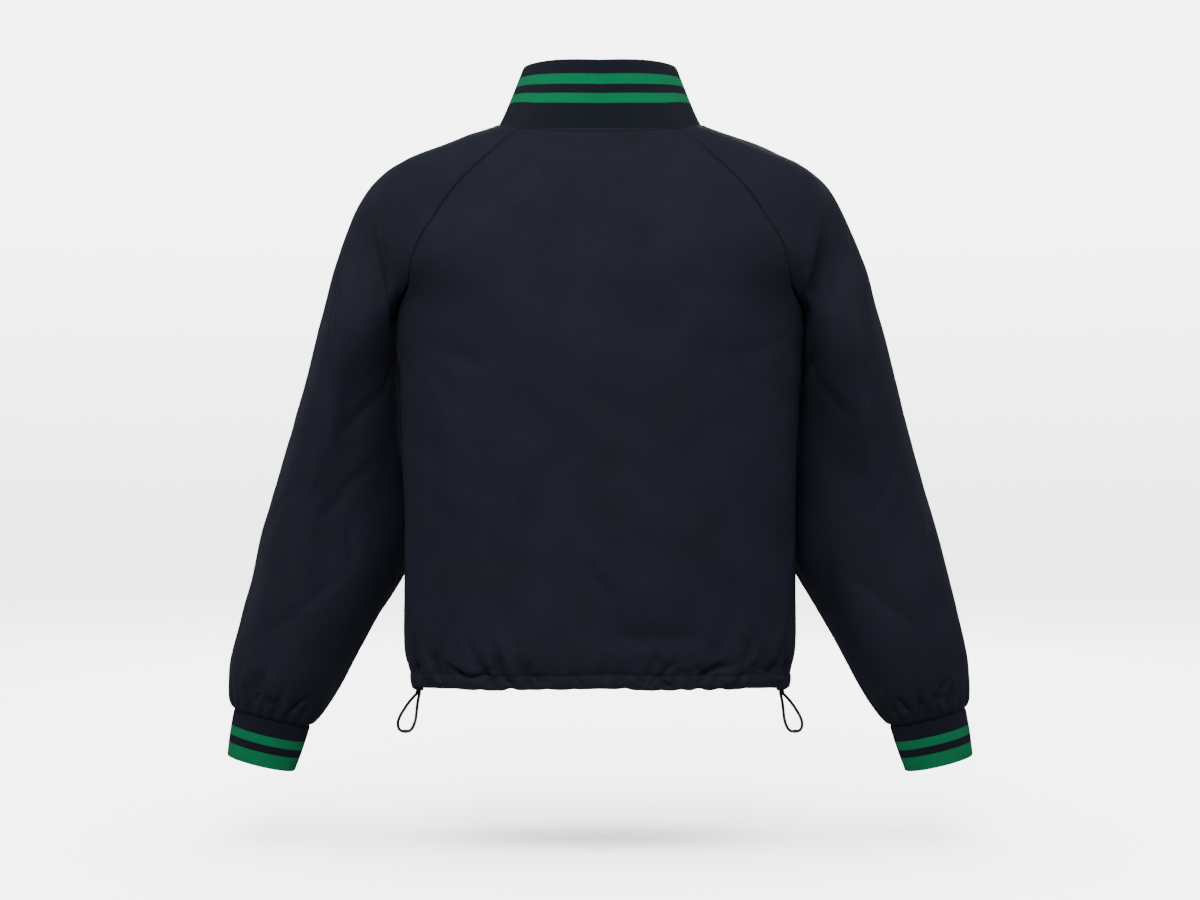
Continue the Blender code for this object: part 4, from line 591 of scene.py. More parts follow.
def seam_frame(panel: Panel, v: Grid) -> tuple[Grid, Grid]:
    """The raglan seam's points at v, and the body's unit normals there, facing out.

    Args:
        panel: whose seam.
        v: the stations.

    Returns:
        The points, and the normals by the cross product of two small steps on the body.
    """
    upper = np.minimum(v, 1.0)
    down = SEAMS[panel].at("down", upper)
    around = SEAMS[panel].at("around", upper)
    round_way = body_point(panel, around - 0.5, down) - body_point(panel, around + 0.5, down)
    down_way = body_point(panel, around, down + 0.001) - body_point(panel, around, down - 0.001)
    normal = unit(np.cross(round_way, down_way))
    return body_point(panel, around, down), normal * np.sign(panel.facing * normal[..., 1:2] + 1e-9)


def sleeve_half(panel: Panel, v: Grid, t: Grid) -> Grid:
    """Half the left sleeve, from its seam (t = 0) over one side to its outer line (1).

    Each row is a cubic arc that leaves the seam along the body, or beside the torso where the
    sleeve is a ring, and reaches the outer line squarely. The columns are shifted so that one
    of them follows the fold behind the armhole, which drops the cloth beyond it.

    Args:
        panel: which side, back or front.
        v: the stations of the rows.
        t: the columns.

    Returns:
        The points.
    """
    facing = panel.facing
    seam, normal = seam_frame(panel, v)
    inner = np.stack([SLEEVE_INNER.at(axis, v) for axis in "xyz"], axis=-1)
    outer = np.stack([SLEEVE.at(axis, v) for axis in "xyz"], axis=-1)
    turn = smoothstep((v - SWING_FROM_V) / (1.0 - SWING_FROM_V))[:, None]
    start = np.where((v < 1.0)[:, None], seam + np.array([UNDERARM_EASE, 0.0, 0.0]) * turn, inner)
    run = (outer - start) * np.array([1.0, 0.0, 1.0])
    reach = np.linalg.norm(run, axis=-1, keepdims=True)
    across = run / reach
    drop = (normal * across).sum(axis=-1) / np.maximum(np.abs(normal[:, 1]), STEEPEST_NORMAL)
    along_body = across.copy()
    along_body[:, 1] -= facing * np.minimum(drop, STEEPEST_DROP)
    along_body = unit(along_body)
    beside = np.array([0.0, facing, 0.0]) + facing * SLEEVE_INNER.at("lean", v)[:, None] * across
    leaving = along_body * np.cos(turn * math.pi / 2) + beside * np.sin(turn * math.pi / 2)
    ring_handle = SLEEVE.at(panel.value, v)[:, None] / RING_HANDLE_SHARE
    arc_handle = START_HANDLE_SHARE * reach
    arc_end = END_HANDLE_SHARE * np.abs(start[:, 1:2] - outer[:, 1:2])
    into_ring = smoothstep((v - RING_END_FROM_V) / (1.0 - RING_END_FROM_V))[:, None]
    end_handle = np.array([0.0, facing, 0.0]) * (arc_end + (ring_handle - arc_end) * into_ring)
    p0 = start[:, None]
    p1 = (start + leaving * (arc_handle + (ring_handle - arc_handle) * turn))[:, None]
    p2 = (outer + end_handle)[:, None]
    fold_at = ARMHOLE_FOLD.at("at", v)[:, None]
    after = fold_at + (t[None, :] - FOLD_COLUMN) * (1.0 - fold_at) / (1.0 - FOLD_COLUMN)
    s = np.where(t[None, :] < FOLD_COLUMN, t[None, :] * fold_at / FOLD_COLUMN, after)[..., None]
    grid = (1 - s) ** 3 * p0 + 3 * (1 - s) ** 2 * s * p1 + 3 * (1 - s) * s * s * p2 + s**3 * outer[:, None]
    past = smoothstep((t - FOLD_COLUMN + FOLD_REACH) / (2 * FOLD_REACH)) * smoothstep((1.0 - t) / 0.5)
    strength = facing * (1.0 if panel is Panel.BACK else FRONT_FOLD_SHARE)
    grid[..., 1] -= strength * ARMHOLE_FOLD.at("depth", v)[:, None] * past
    return grid


def both_halves(half: Grid, mirror: Grid | float = 1.0) -> Grid:
    """The half's columns backwards, times the mirror, and then the half itself."""
    return np.concatenate([half[:, :0:-1] * mirror, half], axis=1)


def neck_ring(count: int) -> Grid:
    """The neck's edge from the centre back to the zip's slot, at even steps, on the wearer's left."""
    t = np.linspace(0.0, 1.0, 80)
    first = np.array([0.0])
    back = panel_half(Panel.BACK, first, t)[0]
    front = panel_half(Panel.FRONT, first, t)[0][::-1]
    over_back = sleeve_half(Panel.BACK, first, t)[0][1:]
    over_front = sleeve_half(Panel.FRONT, first, t)[0][::-1][1:]
    line = np.concatenate([back, over_back, over_front, front[1:]])
    length = run_length(line)
    end = np.interp(-ZIP_SLOT_HALF_WIDTH, -line[-60:, 0], length[-60:])
    wanted = np.linspace(0.0, end, count)
    return along_line(wanted, length, line)


# ---------------- meshes
def grid_patch(points: Grid, uv: Grid, index: Grid | None = None) -> Patch:
    """A patch: the faces between neighbouring rows and columns of a grid of points.

    Args:
        points: (rows, columns, 3).
        uv: (rows, columns, 2), in metres.
        index: which point each place of the grid uses, where some are shared.

    Returns:
        The points as one list, the four-cornered faces and the UV of each corner.
    """
    rows, columns = points.shape[:2]
    index = np.arange(rows * columns).reshape(rows, columns) if index is None else index
    corners = [np.s_[:-1, :-1], np.s_[:-1, 1:], np.s_[1:, 1:], np.s_[1:, :-1]]
    faces = np.stack([index[c] for c in corners], axis=-1).reshape(-1, 4)
    return points.reshape(-1, 3), faces, np.stack([uv[c] for c in corners], axis=-2).reshape(-1, 4, 2)


def looped(*grids: Grid) -> Patch:
    """The patch of a grid's points, UV and index with its first row joined on after its last."""
    return grid_patch(*(np.concatenate([grid, grid[:1]]) for grid in grids))


def joined(patches: Sequence[Patch]) -> Patch:
    """Several patches as one, each one's faces counted on from the points before it."""
    starts = np.cumsum([0, *[len(patch[0]) for patch in patches[:-1]]])
    return (
        np.concatenate([patch[0] for patch in patches]),
        np.concatenate([patch[1] + start for patch, start in zip(patches, starts)]),
        np.concatenate([patch[2] for patch in patches]),
    )


def placed(name: str, data: bpy.types.ID) -> bpy.types.Object:
    """A new object with the data, put in the scene at the origin."""
    thing = bpy.data.objects.new(name, data)
    bpy.context.scene.collection.objects.link(thing)
    return thing


def make_piece(
    name: str,
    patch: Patch,
    material: Material,
    outward: Sequence[float] = (0.0, 0.0, 0.0),
    merge: float = 0.0,
) -> bpy.types.Object:
    """A mesh object from a patch, smooth, with its faces pointing outwards.

    Args:
        name: the piece's name.
        patch: its points, faces and UVs. A face with two equal corners becomes a triangle.
        material: its finish.
        outward: the way the outermost face along it looks. All zero leaves the faces as given.
        merge: points closer than this are made one.

    Returns:
        The object, at the origin.
    """
    points, faces, uv = patch
    used, again = np.unique(faces, return_inverse=True)
    faces = again.reshape(faces.shape)
    mesh = bpy.data.meshes.new(name)
    mesh.vertices.add(len(used))
    mesh.vertices.foreach_set("co", points[used].astype(np.float32).ravel())
    mesh.loops.add(faces.size)
    mesh.loops.foreach_set("vertex_index", faces.astype(np.int32).ravel())
    mesh.polygons.add(len(faces))
    mesh.polygons.foreach_set("loop_start", np.arange(0, faces.size, faces.shape[1], dtype=np.int32))
    mesh.uv_layers.new(name="UVMap").data.foreach_set("uv", uv.astype(np.float32).ravel())
    mesh.update(calc_edges=True)
    form = bmesh.new()
    form.from_mesh(mesh)
    if merge:
        bmesh.ops.remove_doubles(form, verts=form.verts, dist=merge)
    if any(outward):
        bmesh.ops.recalc_face_normals(form, faces=form.faces)
        probe = max(form.faces, key=lambda face: face.calc_center_median().dot(outward))
        if probe.normal.dot(outward) < 0:
            bmesh.ops.reverse_faces(form, faces=form.faces)
    form.to_mesh(mesh)
    form.free()
    mesh.shade_smooth()
    mesh.materials.append(material)
    return placed(name, mesh)


def dressed(piece: bpy.types.Object, slot: str, *nodes: str) -> bpy.types.Object:
    """The piece riding on the garment, with the CAD nodes that it replaces hidden. Its slot is not used."""
    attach(piece, BODY_NAME)
    if nodes:
        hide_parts(*nodes)
    LOG.info("%s: %d faces", piece.name, len(piece.data.polygons))
    return piece


def walled(piece: bpy.types.Object, wall: float) -> bpy.types.Object:
    """The piece with a Solidify modifier that gives it a wall inwards."""
    solidify = piece.modifiers.new("wall", "SOLIDIFY")
    solidify.thickness = wall
    solidify.offset = -1.0
    solidify.use_even_offset = False
    return piece


def tube(path: Grid, radius: Grid | float, sides: int, flat: float = 1.0) -> Patch:
    """A tube round a path, closed at both ends by rings that shrink to a point.

    Each ring is a circle square to the path, carried along without twist by always taking
    the same "up" (Y). "flat" is its depth along Y as a share of its width.

    Args:
        path: the points of its middle line.
        radius: one for each point, or one for all.
        sides: the ring's corners.
        flat: the ring's depth as a share of its width.

    Returns:
        The patch, its U round the ring from 0 to 1 and its V in metres along the path.
    """
    radius = np.broadcast_to(np.asarray(radius, float), len(path))
    along = unit(np.gradient(path, axis=0))
    up = np.array([0.0, 1.0, 0.0])
    side = unit(np.cross(along, up))
    high = np.cross(side, along)
    angle = np.linspace(0.0, math.tau, sides + 1)[None, :, None]
    ring = side[:, None] * np.cos(angle) + flat * high[:, None] * np.sin(angle)
    body = path[:, None] + ring * radius[:, None, None]
    ends = [np.repeat(path[:1, None], sides + 1, axis=1), np.repeat(path[-1:, None], sides + 1, axis=1)]
    points = np.concatenate([ends[0], body, ends[1]])
    length = run_length(path)
    v = np.concatenate([length[:1], length, length[-1:]])
    uv = stacked(np.linspace(0.0, 1.0, sides + 1)[None], v[:, None])
    return grid_patch(points, uv)


def row_of(template: Patch, places: Grid, axes: Grid) -> Patch:
    """The template copied to every place: point = place + x * axis 0 + y * axis 1 + z * axis 2.

    Args:
        template: a patch round the origin.
        places: (count, 3).
        axes: (count, 3, 3), the three directions of each copy as rows.

    Returns:
        One patch with all the copies.
    """
    points, faces, uv = template
    count = len(places)
    spread = places[:, None] + np.einsum("pi,nij->npj", points, axes)
    shifts = np.arange(count)[:, None, None] * len(points)
    return spread.reshape(-1, 3), (faces[None] + shifts).reshape(-1, 4), np.tile(uv, (count, 1, 1))


def grid_at(grid: Grid, row: Grid, column: Grid) -> Grid:
    """The grid's value between its rows and columns, by a blend of the four around it."""
    row = np.clip(row, 0, grid.shape[0] - 1.001)
    column = np.clip(column, 0, grid.shape[1] - 1.001)
    r, c = row.astype(int), column.astype(int)
    a, b = (row - r)[:, None], (column - c)[:, None]
    upper = grid[r, c] * (1 - b) + grid[r, c + 1] * b
    return upper * (1 - a) + (grid[r + 1, c] * (1 - b) + grid[r + 1, c + 1] * b) * a


@dataclass
class Topstitch:
    """Rows of stitches on cloth: short thread capsules laid end to end along lines of its surface."""

    thread: Material
    length: float = 0.0024
    gap: float = 0.0007
    radius: float = 0.00026
    sunk: float = 0.00004
    sides: int = 6
    reading: float = 0.0008

    def template(self) -> Patch:
        """One stitch along X: a tube whose radius follows the fourth root of a parabola.

        Returns:
            The patch.
        """
        share = np.array([-1.0, -0.86, -0.4, 0.4, 0.86, 1.0])
        path = stacked(share * self.length / 2, 0.0, 0.0)
        swell = np.maximum(1.0 - share**2, 0.06) ** 0.25
        return tube(path, self.radius * swell, self.sides)

    def run(self, grid: Grid, row: Grid, column: Grid) -> Patch:
        """Stitches along a line that is given in the grid's rows and columns.

        Args:
            grid: the cloth's outer points.
            row: the line's rows.
            column: the line's columns.

        Returns:
            One patch with the line's stitches, spaced evenly over its length.
        """
        line = grid_at(grid, row, column)
        length = run_length(line)
        count = int(length[-1] / (self.length + self.gap))
        middle = (np.arange(count) + 0.5) * length[-1] / count
        share = np.interp(middle, length, np.arange(len(line)))
        normals = grid_normals(grid)
        at_row = np.interp(share, np.arange(len(line)), row)
        at_column = np.interp(share, np.arange(len(line)), column)
        normal = unit(grid_at(normals, at_row, at_column))
        behind, ahead = (along_line(middle + step, length, line) for step in (-self.reading, self.reading))
        along = unit(ahead - behind)
        across = unit(np.cross(normal, along))
        place = grid_at(grid, at_row, at_column)
        outward = np.sign((normal * (place - place.mean(axis=0) * [0.0, 0.0, 1.0])).sum(axis=-1))[:, None]
        place = place + normal * outward * (self.radius - self.sunk)
        return row_of(self.template(), place, np.stack([along, across, np.cross(along, across)], axis=1))

    def piece(self, name: str, runs: Sequence[Patch]) -> None:
        """Makes one piece of several runs of stitches."""
        dressed(make_piece(name, joined(runs), self.thread, merge=MERGE), "shell_cloth")


# ---------------- shading
class Value:
    """A shader value. The arithmetic operators on it add Math nodes to its graph."""

    def __init__(self, graph: "Graph", socket: bpy.types.NodeSocket) -> None:
        """Wraps a socket of a graph."""
        self.graph = graph
        self.socket = socket

    def math(self, operation: str, *others: "Value | float") -> "Value":
        """One Math node on this value and the others.

        Args:
            operation: the node's operation.
            others: its second and third values.

        Returns:
            Its result.
        """
        values = dict(enumerate((self, *others)))
        node = self.graph.node("ShaderNodeMath", {"operation": operation}, values)
        return Value(self.graph, node.outputs[0])

    def __add__(self, other: "Value | float") -> "Value":
        """self + other"""
        return self.math("ADD", other)

    __radd__ = __add__

    def __sub__(self, other: "Value | float") -> "Value":
        """self - other"""
        return self.math("SUBTRACT", other)

    def __rsub__(self, other: float) -> "Value":
        """other - self"""
        return self.math("MULTIPLY_ADD", -1.0, other)

    def __mul__(self, other: "Value | float") -> "Value":
        """self * other"""
        return self.math("MULTIPLY", other)

    __rmul__ = __mul__

    def __truediv__(self, other: "Value | float") -> "Value":
        """self / other"""
        return self.math("DIVIDE", other)

    def __rtruediv__(self, other: float) -> "Value":
        """other / self"""
        return self.math("POWER", -1.0) * other

    def __pow__(self, power: float) -> "Value":
        """self to the power"""
        return self.math("POWER", power)

    def sine(self) -> "Value":
        """sin(self)"""
        return self.math("SINE")

    def size(self) -> "Value":
        """The absolute value."""
        return self.math("ABSOLUTE")

    def floor(self) -> "Value":
        """The whole number below."""
        return self.math("FLOOR")

    def step(self, low: float, high: float) -> "Value":
        """0 below low and 1 above high, with a smooth step between them.

        Args:
            low: where the step starts.
            high: where it ends.

        Returns:
            The step.
        """
        values = {"Value": self, "From Min": low, "From Max": high}
        node = self.graph.node("ShaderNodeMapRange", {"interpolation_type": "SMOOTHSTEP"}, values)
        return Value(self.graph, node.outputs["Result"])

    def band(self, low: float, high: float, edge: float) -> "Value":
        """1 between low and high, with edges that wide."""
        return self.step(low - edge, low + edge) - self.step(high - edge, high + edge)


class Graph:
    """A material with a Principled shader, and the ways to add nodes to it."""

    def __init__(self, name: str, constants: dict[str, object]) -> None:
        """Makes the material.

        Args:
            name: its name.
            constants: values set on the shader's own sockets.
        """
        self.material = bpy.data.materials.new(name)
        self.material.use_nodes = True
        self.tree = self.material.node_tree
        self.shader = self.tree.nodes["Principled BSDF"]
        for socket, value in constants.items():
            self.shader.inputs[socket].default_value = value

    def node(self, kind: str, settings: dict[str, object], values: dict[object, object]) -> bpy.types.Node:
        """Adds a node.

        Args:
            kind: its type.
            settings: its own settings, which are set first.
            values: what goes into its sockets, numbers or links.

        Returns:
            The node.
        """
        node = self.tree.nodes.new(kind)
        for setting, value in settings.items():
            setattr(node, setting, value)
        for key, value in values.items():
            self.join(node.inputs[key], value)
        return node

    def join(self, socket: bpy.types.NodeSocket, value: object) -> None:
        """Links a value or a socket to the socket, or sets a number or colour on it."""
        if isinstance(value, (Value, bpy.types.NodeSocket)):
            self.tree.links.new(socket, value.socket if isinstance(value, Value) else value)
        else:
            socket.default_value = value

    def uv(self) -> tuple[Value, Value]:
        """The piece's own UV, as two values."""
        place = self.node("ShaderNodeUVMap", {"uv_map": "UVMap"}, {}).outputs[0]
        parts = self.node("ShaderNodeSeparateXYZ", {}, {0: place})
        return Value(self, parts.outputs[0]), Value(self, parts.outputs[1])

    def noise(self, scale: float, detail: float = 2.0, stretch: Sequence[float] = (1.0, 1.0, 1.0)) -> Value:
        """Noise on Object coordinates from 0 to 1.

        Args:
            scale: how many lumps there are in a metre.
            detail: how many finer layers it has.
            stretch: the share of the scale along each axis.

        Returns:
            The noise.
        """
        place = self.node("ShaderNodeTexCoord", {}, {}).outputs["Object"]
        sized = self.node("ShaderNodeMapping", {}, {"Vector": place, "Scale": stretch}).outputs[0]
        values = {"Vector": sized, "Scale": scale, "Detail": detail}
        return Value(self, self.node("ShaderNodeTexNoise", {}, values).outputs[0])

    def blend(self, share: Value, first: object, second: object) -> bpy.types.NodeSocket:
        """The colour between two, by the share of the second."""
        values = {"Factor": share, 6: first, 7: second}
        return self.node("ShaderNodeMix", {"data_type": "RGBA"}, values).outputs[2]

    def shades(self, share: Value, colour: Sequence[float], low: float, high: float) -> bpy.types.NodeSocket:
        """The colour from darker to lighter, by the share."""
        return self.blend(share, rgba(*colour, low), rgba(*colour, high))

    def finished(self, base: object, roughness: Value, height: Value, distance: float) -> Material:
        """Feeds the shader's colour, roughness and bump.

        Args:
            base: the colour.
            roughness: the roughness.
            height: the bump's height.
            distance: what a height of 1 is worth, in metres.

        Returns:
            The material.
        """
        self.feed("Base Color", base)
        self.feed("Roughness", roughness)
        values = {"Height": height, "Distance": distance, "Strength": 1.0}
        self.feed("Normal", self.node("ShaderNodeBump", {}, values).outputs[0])
        return self.material

    def feed(self, socket: str, value: object) -> None:
        """Feeds one of the shader's sockets."""
        self.join(self.shader.inputs[socket], value)


def rgba(red: float, green: float, blue: float, light: float = 1.0) -> tuple[float, float, float, float]:
    """A linear colour, made lighter or darker."""
    return red * light, green * light, blue * light, 1.0


# ---------------- finishes
@dataclass(frozen=True)
class ShellCloth:
    """Matt navy woven cloth: plain weave, faint slubs and soft cloudy mottling."""

    colour: tuple[float, float, float] = (0.0117, 0.0138, 0.0262)
    thread: float = 0.00044

    def material(self) -> Material:
        """The weave is the product of two sines of the UV, one for each way of thread.

        Returns:
            The material.
        """
        constants = {"Sheen Weight": 0.05, "Sheen Roughness": 0.45, "Sheen Tint": rgba(0.45, 0.5, 0.68)}
        graph = Graph("shell_cloth", {**constants, "Specular IOR Level": 0.2})
        u, v = graph.uv()
        cloud = graph.noise(15.0, 3.0).step(0.25, 0.75)
        fleck = graph.noise(210.0, 3.0)
        slub = graph.noise(900.0, 1.0, (0.12, 0.12, 1.0))
        pace = math.tau / self.thread
        weave = (u * pace).sine() * (v * pace).sine()
        share = cloud * 0.62 + fleck * 0.25 + slub * 0.13
        base = graph.shades(share, self.colour, 0.84, 1.2)
        relief = weave * 0.10 + slub * 0.12 + fleck * 0.42
        return graph.finished(base, graph.noise(40.0) * 0.14 + 0.6, relief, 0.0004)


@dataclass(frozen=True)
class RibKnit:
    """Matt rib knit: V-shaped courses of stitches, with stripes knitted in along its height."""

    name: str
    height: float
    stripes: tuple[tuple[float, float], ...]
    colour: tuple[float, float, float] = (0.0092, 0.0122, 0.0212)
    stripe_colour: tuple[float, float, float] = (0.0040, 0.2700, 0.0980)
    stripe_edge: float = 0.004
    wale: float = 0.00115
    course: float = 0.0010

    def material(self) -> Material:
        """Courses are sines of the height, bent up at each wale. A stripe is a band of the height.

        Returns:
            The material.
        """
        constants = {"Sheen Weight": 0.04, "Sheen Roughness": 0.55, "Specular IOR Level": 0.15}
        graph = Graph(self.name, constants)
        u, v = graph.uv()
        bend = (u * (math.tau / self.wale)).sine().size()
        courses = ((v / self.course + bend * 0.5) * math.tau).sine()
        fuzz = graph.noise(1300.0, 2.0)
        share = v / self.height + (bend - 0.5) * 0.006
        first, *rest = (share.band(low, high, self.stripe_edge) for low, high in self.stripes)
        # Painted shade: the colour is a little lighter on the courses' crests and darker in their troughs,
        # by the same sine as the bump. The noise and fuzz in the tone are random.
        tone = graph.noise(24.0, 3.0) * 0.5 + fuzz * 0.3 + courses * 0.1 + 0.1
        plain = graph.shades(tone, self.colour, 0.8, 1.3)
        green = graph.shades(tone, self.stripe_colour, 0.82, 1.18)
        base = graph.blend(sum(rest, first), plain, green)
        return graph.finished(base, fuzz * 0.12 + 0.76, courses * 0.3 + bend * 0.4 + fuzz * 0.3, 0.00025)


@dataclass(frozen=True)
class TapeWeave:
    """The zip tape's herringbone: slanting threads that turn back every few of them."""

    colour: tuple[float, float, float] = (0.0112, 0.0130, 0.0205)
    thread: float = 0.0006
    band: float = 0.0024

    def material(self) -> Material:
        """The slant's phase is the height plus a triangle wave of the width.

        Returns:
            The material.
        """
        graph = Graph("zip_tape", {"Sheen Weight": 0.05, "Sheen Roughness": 0.5, "Specular IOR Level": 0.2})
        u, v = graph.uv()
        turned = u / self.band
        zigzag = (turned - turned.floor() - 0.5).size() * self.band
        threads = ((v + zigzag) * (math.tau / self.thread)).sine()
        # Painted highlight and painted shade: the colour is lighter on the threads' crests and darker
        # between them, by the same sine as the bump. The noise in the tone is random.
        tone = threads * 0.35 + graph.noise(60.0) * 0.3 + 0.35
        base = graph.shades(tone, self.colour, 0.72, 1.35)
        return graph.finished(base, graph.noise(300.0) * 0.1 + 0.72, threads, 0.00008)


@dataclass(frozen=True)
class Moulded:
    """Satin moulded plastic or painted metal: fine grain, with rubbed spots a little shinier."""

    name: str
    colour: tuple[float, float, float]
    roughness: float = 0.36
    metallic: float = 0.0

    def material(self) -> Material:
        """Roughness and tone follow a coarse noise; the bump follows a fine one.

        Returns:
            The material.
        """
        graph = Graph(self.name, {"Metallic": self.metallic, "Coat Weight": 0.08, "Coat Roughness": 0.3})
        rub = graph.noise(520.0, 3.0)
        grain = graph.noise(4200.0, 1.0)
        base = graph.shades(rub, self.colour, 0.85, 1.25)
        return graph.finished(base, rub * 0.16 + (self.roughness - 0.08), grain * 0.5 + rub * 0.5, 0.00003)


@dataclass(frozen=True)
class Braid:
    """Black braided elastic: two sets of strands that wind round it both ways."""

    colour: tuple[float, float, float] = (0.0062, 0.0062, 0.0068)
    strands: float = 6.0
    pitch: float = 0.0034

    def material(self) -> Material:
        """The braid is the product of two sines that run round and along it in opposite ways.

        Returns:
            The material.
        """
        graph = Graph("elastic_cord", {"Sheen Weight": 0.2, "Sheen Roughness": 0.4})
        u, v = graph.uv()
        round_way, along = u * (math.tau * self.strands), v * (math.tau * self.strands / 2 / self.pitch)
        braid = (round_way + along).sine() * (round_way - along).sine()
        # Painted highlight and painted shade: the colour is about twice as light on the strands' crests and
        # darker in the hollows between them, by the same braid as the bump.
        base = graph.shades(braid * 0.5 + 0.5, self.colour, 0.6, 2.1)
        return graph.finished(base, graph.noise(800.0) * 0.12 + 0.52, braid, 0.00012)


@dataclass(frozen=True)
class Thread:
    """Navy sewing thread: two plies twisted together."""

    colour: tuple[float, float, float] = (0.0055, 0.0068, 0.0125)
    twist: float = 0.0007

    def material(self) -> Material:
        """The plies are a sine of the length plus the turn round it.

        Returns:
            The material.
        """
        graph = Graph("sewing_thread", {"Specular IOR Level": 0.2})
        u, v = graph.uv()
        plies = ((v / self.twist + u) * math.tau).sine()
        # Painted highlight and painted shade: the colour is lighter on the plies' crests and darker in the
        # grooves between them, by the same sine as the bump. The noise in the tone is random.
        tone = plies * 0.4 + graph.noise(700.0) * 0.3 + 0.35
        base = graph.shades(tone, self.colour, 0.7, 1.5)
        return graph.finished(base, plies * 0.06 + 0.56, plies, 0.00006)


@dataclass(frozen=True)
class StudioPaper:
    """Pale seamless paper. Its own glow takes over from the overhead light as the paper turns up."""

    floor: float
    bend: float
    glow: float = 5.0
    floor_share: float = 0.06
    colour: tuple[float, float, float] = (0.86, 0.86, 0.86)

    def material(self) -> Material:
        """On the round bend, the light from above falls off in proportion to the height.

        Returns:
            The material.
        """
        constants = {"Roughness": 0.95, "Specular IOR Level": 0.0, "Emission Strength": self.glow}
        graph = Graph("studio_paper", constants)
        place = graph.node("ShaderNodeTexCoord", {}, {}).outputs["Object"]
        height = Value(graph, graph.node("ShaderNodeSeparateXYZ", {}, {0: place}).outputs[2]) - self.floor
        rise = (height / self.bend).math("MINIMUM", 1.0)
        low, high = rgba(*([self.floor_share] * 3)), rgba(1.0, 1.0, 1.0)
        graph.feed("Emission Color", graph.blend(rise, low, high))
        graph.feed("Base Color", graph.shades(graph.noise(3.0), self.colour, 0.995, 1.005))
        return graph.material


# ---------------- relief on the forms
def trough(aside: Grid, along: Grid, half_width: float) -> Grid:
    """A bell curve across a line times a fade at its two ends, and past them.

    Args:
        aside: the distance from the line.
        along: the share of the line passed, 0 to 1 between its ends.
        half_width: where the bell has fallen to 1/e.

    Returns:
        From 0 to 1.
    """
    start = smoothstep((along + FOLD_OVERRUN) / FOLD_TAPER)
    end = smoothstep((1.0 + FOLD_OVERRUN - along) / FOLD_TAPER)
    return start * end * bell(aside, half_width)


def fold_depth(panel: Panel, x: Grid, down: Grid) -> Grid:
    """How deep a body panel's soft folds and its creases are: the sum of their troughs.

    Args:
        panel: the panel.
        x: the places across.
        down: the depths below the neck base.

    Returns:
        The depth, in metres.
    """
    total = np.zeros_like(x)
    for row in [*BODY_FOLDS[panel], *BODY_CREASES[panel]]:
        x0, d0, x1, d1, half_width, depth, *bow = np.array(row) / 1000
        run_x, run_down = x1 - x0, d1 - d0
        length = math.hypot(run_x, run_down)
        along = ((x - x0) * run_x + (down - d0) * run_down) / length**2
        aside = ((x - x0) * run_down - (down - d0) * run_x) / length
        if bow:
            aside = aside - bow[0] * 4 * along * (1 - along)
            aside = np.where(aside > 0, aside, aside * 0.62)
        total += depth * trough(aside, along, half_width)
    return total


def tuck_height(x: Grid, down: Grid, tucks: Sequence[Sequence[float]]) -> Grid:
    """How high the tucks stand: a bell across each curve, with a wider skirt on its inner side.

    Each curve is a parabola through its three places. A point's share of a tuck comes from the
    nearest of the samples along it, and the side it lies on from the cross product there.

    Args:
        x: the places across.
        down: the depths below the neck base.
        tucks: the rows of a tuck table.

    Returns:
        The height, in metres.
    """
    total = np.zeros_like(x)
    share = np.linspace(0.0, 1.0, TUCK_SAMPLES)[:, None]
    for row in tucks:
        *places, steep, gentle, height = np.array(row) / 1000
        first, middle, last = np.array(places).reshape(3, 2)
        bend = 2 * middle - (first + last) / 2
        curve = first * (1 - share) ** 2 + bend * 2 * share * (1 - share) + last * share**2
        reach = np.ptp(curve, axis=0) + 3 * gentle
        near = np.nonzero((np.abs(x - middle[0]) < reach[0]) & (np.abs(down - middle[1]) < reach[1]))
        if not len(near[0]):
            continue
        apart = stacked(x[near], down[near])[:, None] - curve
        distance = np.linalg.norm(apart, axis=-1)
        best = np.argmin(distance, axis=1)
        way = np.gradient(curve, axis=0)[best]
        gap = apart[np.arange(len(best)), best]
        side = (way[:, 0] * gap[:, 1] - way[:, 1] * gap[:, 0]) * first[0]
        width = np.where(side > 0, steep, gentle)
        passed = best / (TUCK_SAMPLES - 1)
        fade = smoothstep((passed + 0.12) / 0.3) * smoothstep((1.05 - passed) / 0.5)
        total[near] += height * fade * bell(distance.min(axis=1), width)
    return total


def crease_with_puffs(aside: Grid, puff: float) -> Grid:
    """A bell curve less a share of one about 2.4 times as wide, which raises puffs beside it."""
    return np.exp(-(aside**2)) - puff * np.exp(-(aside**2) / 6.0)


def gather_depth(panel: Panel, along: Grid, above_hem: Grid) -> Grid:
    """How deep the gathers over the cord tunnel are: the placed ones, and small seeded ones.

    Args:
        panel: the panel.
        along: the place along the hem.
        above_hem: the height above it.

    Returns:
        The depth, in metres, drawn in over the tunnel itself.
    """
    total = np.zeros_like(along)
    for at, lean, *sizes in GATHERS[panel]:
        half_width, reach, depth = np.array(sizes) / 1000
        aside = (along - at / 1000 - lean * above_hem) / half_width
        total += GATHER_SHARE * depth * bell(above_hem, reach) * crease_with_puffs(aside, 0.28)
    draws = np.random.default_rng(GATHER_SEED[panel])
    for at in np.linspace(-0.262, 0.262, 62):
        at = at + draws.uniform(-0.003, 0.003)
        lean, half_width, reach, depth = draws.uniform(*SMALL_GATHERS)
        aside = (along - at - lean * above_hem) / half_width
        total += depth * bell(above_hem, reach) * crease_with_puffs(aside, 0.2)
    return total * (DRAWN_IN + (1 - DRAWN_IN) * smoothstep(above_hem / CASING_HEIGHT))


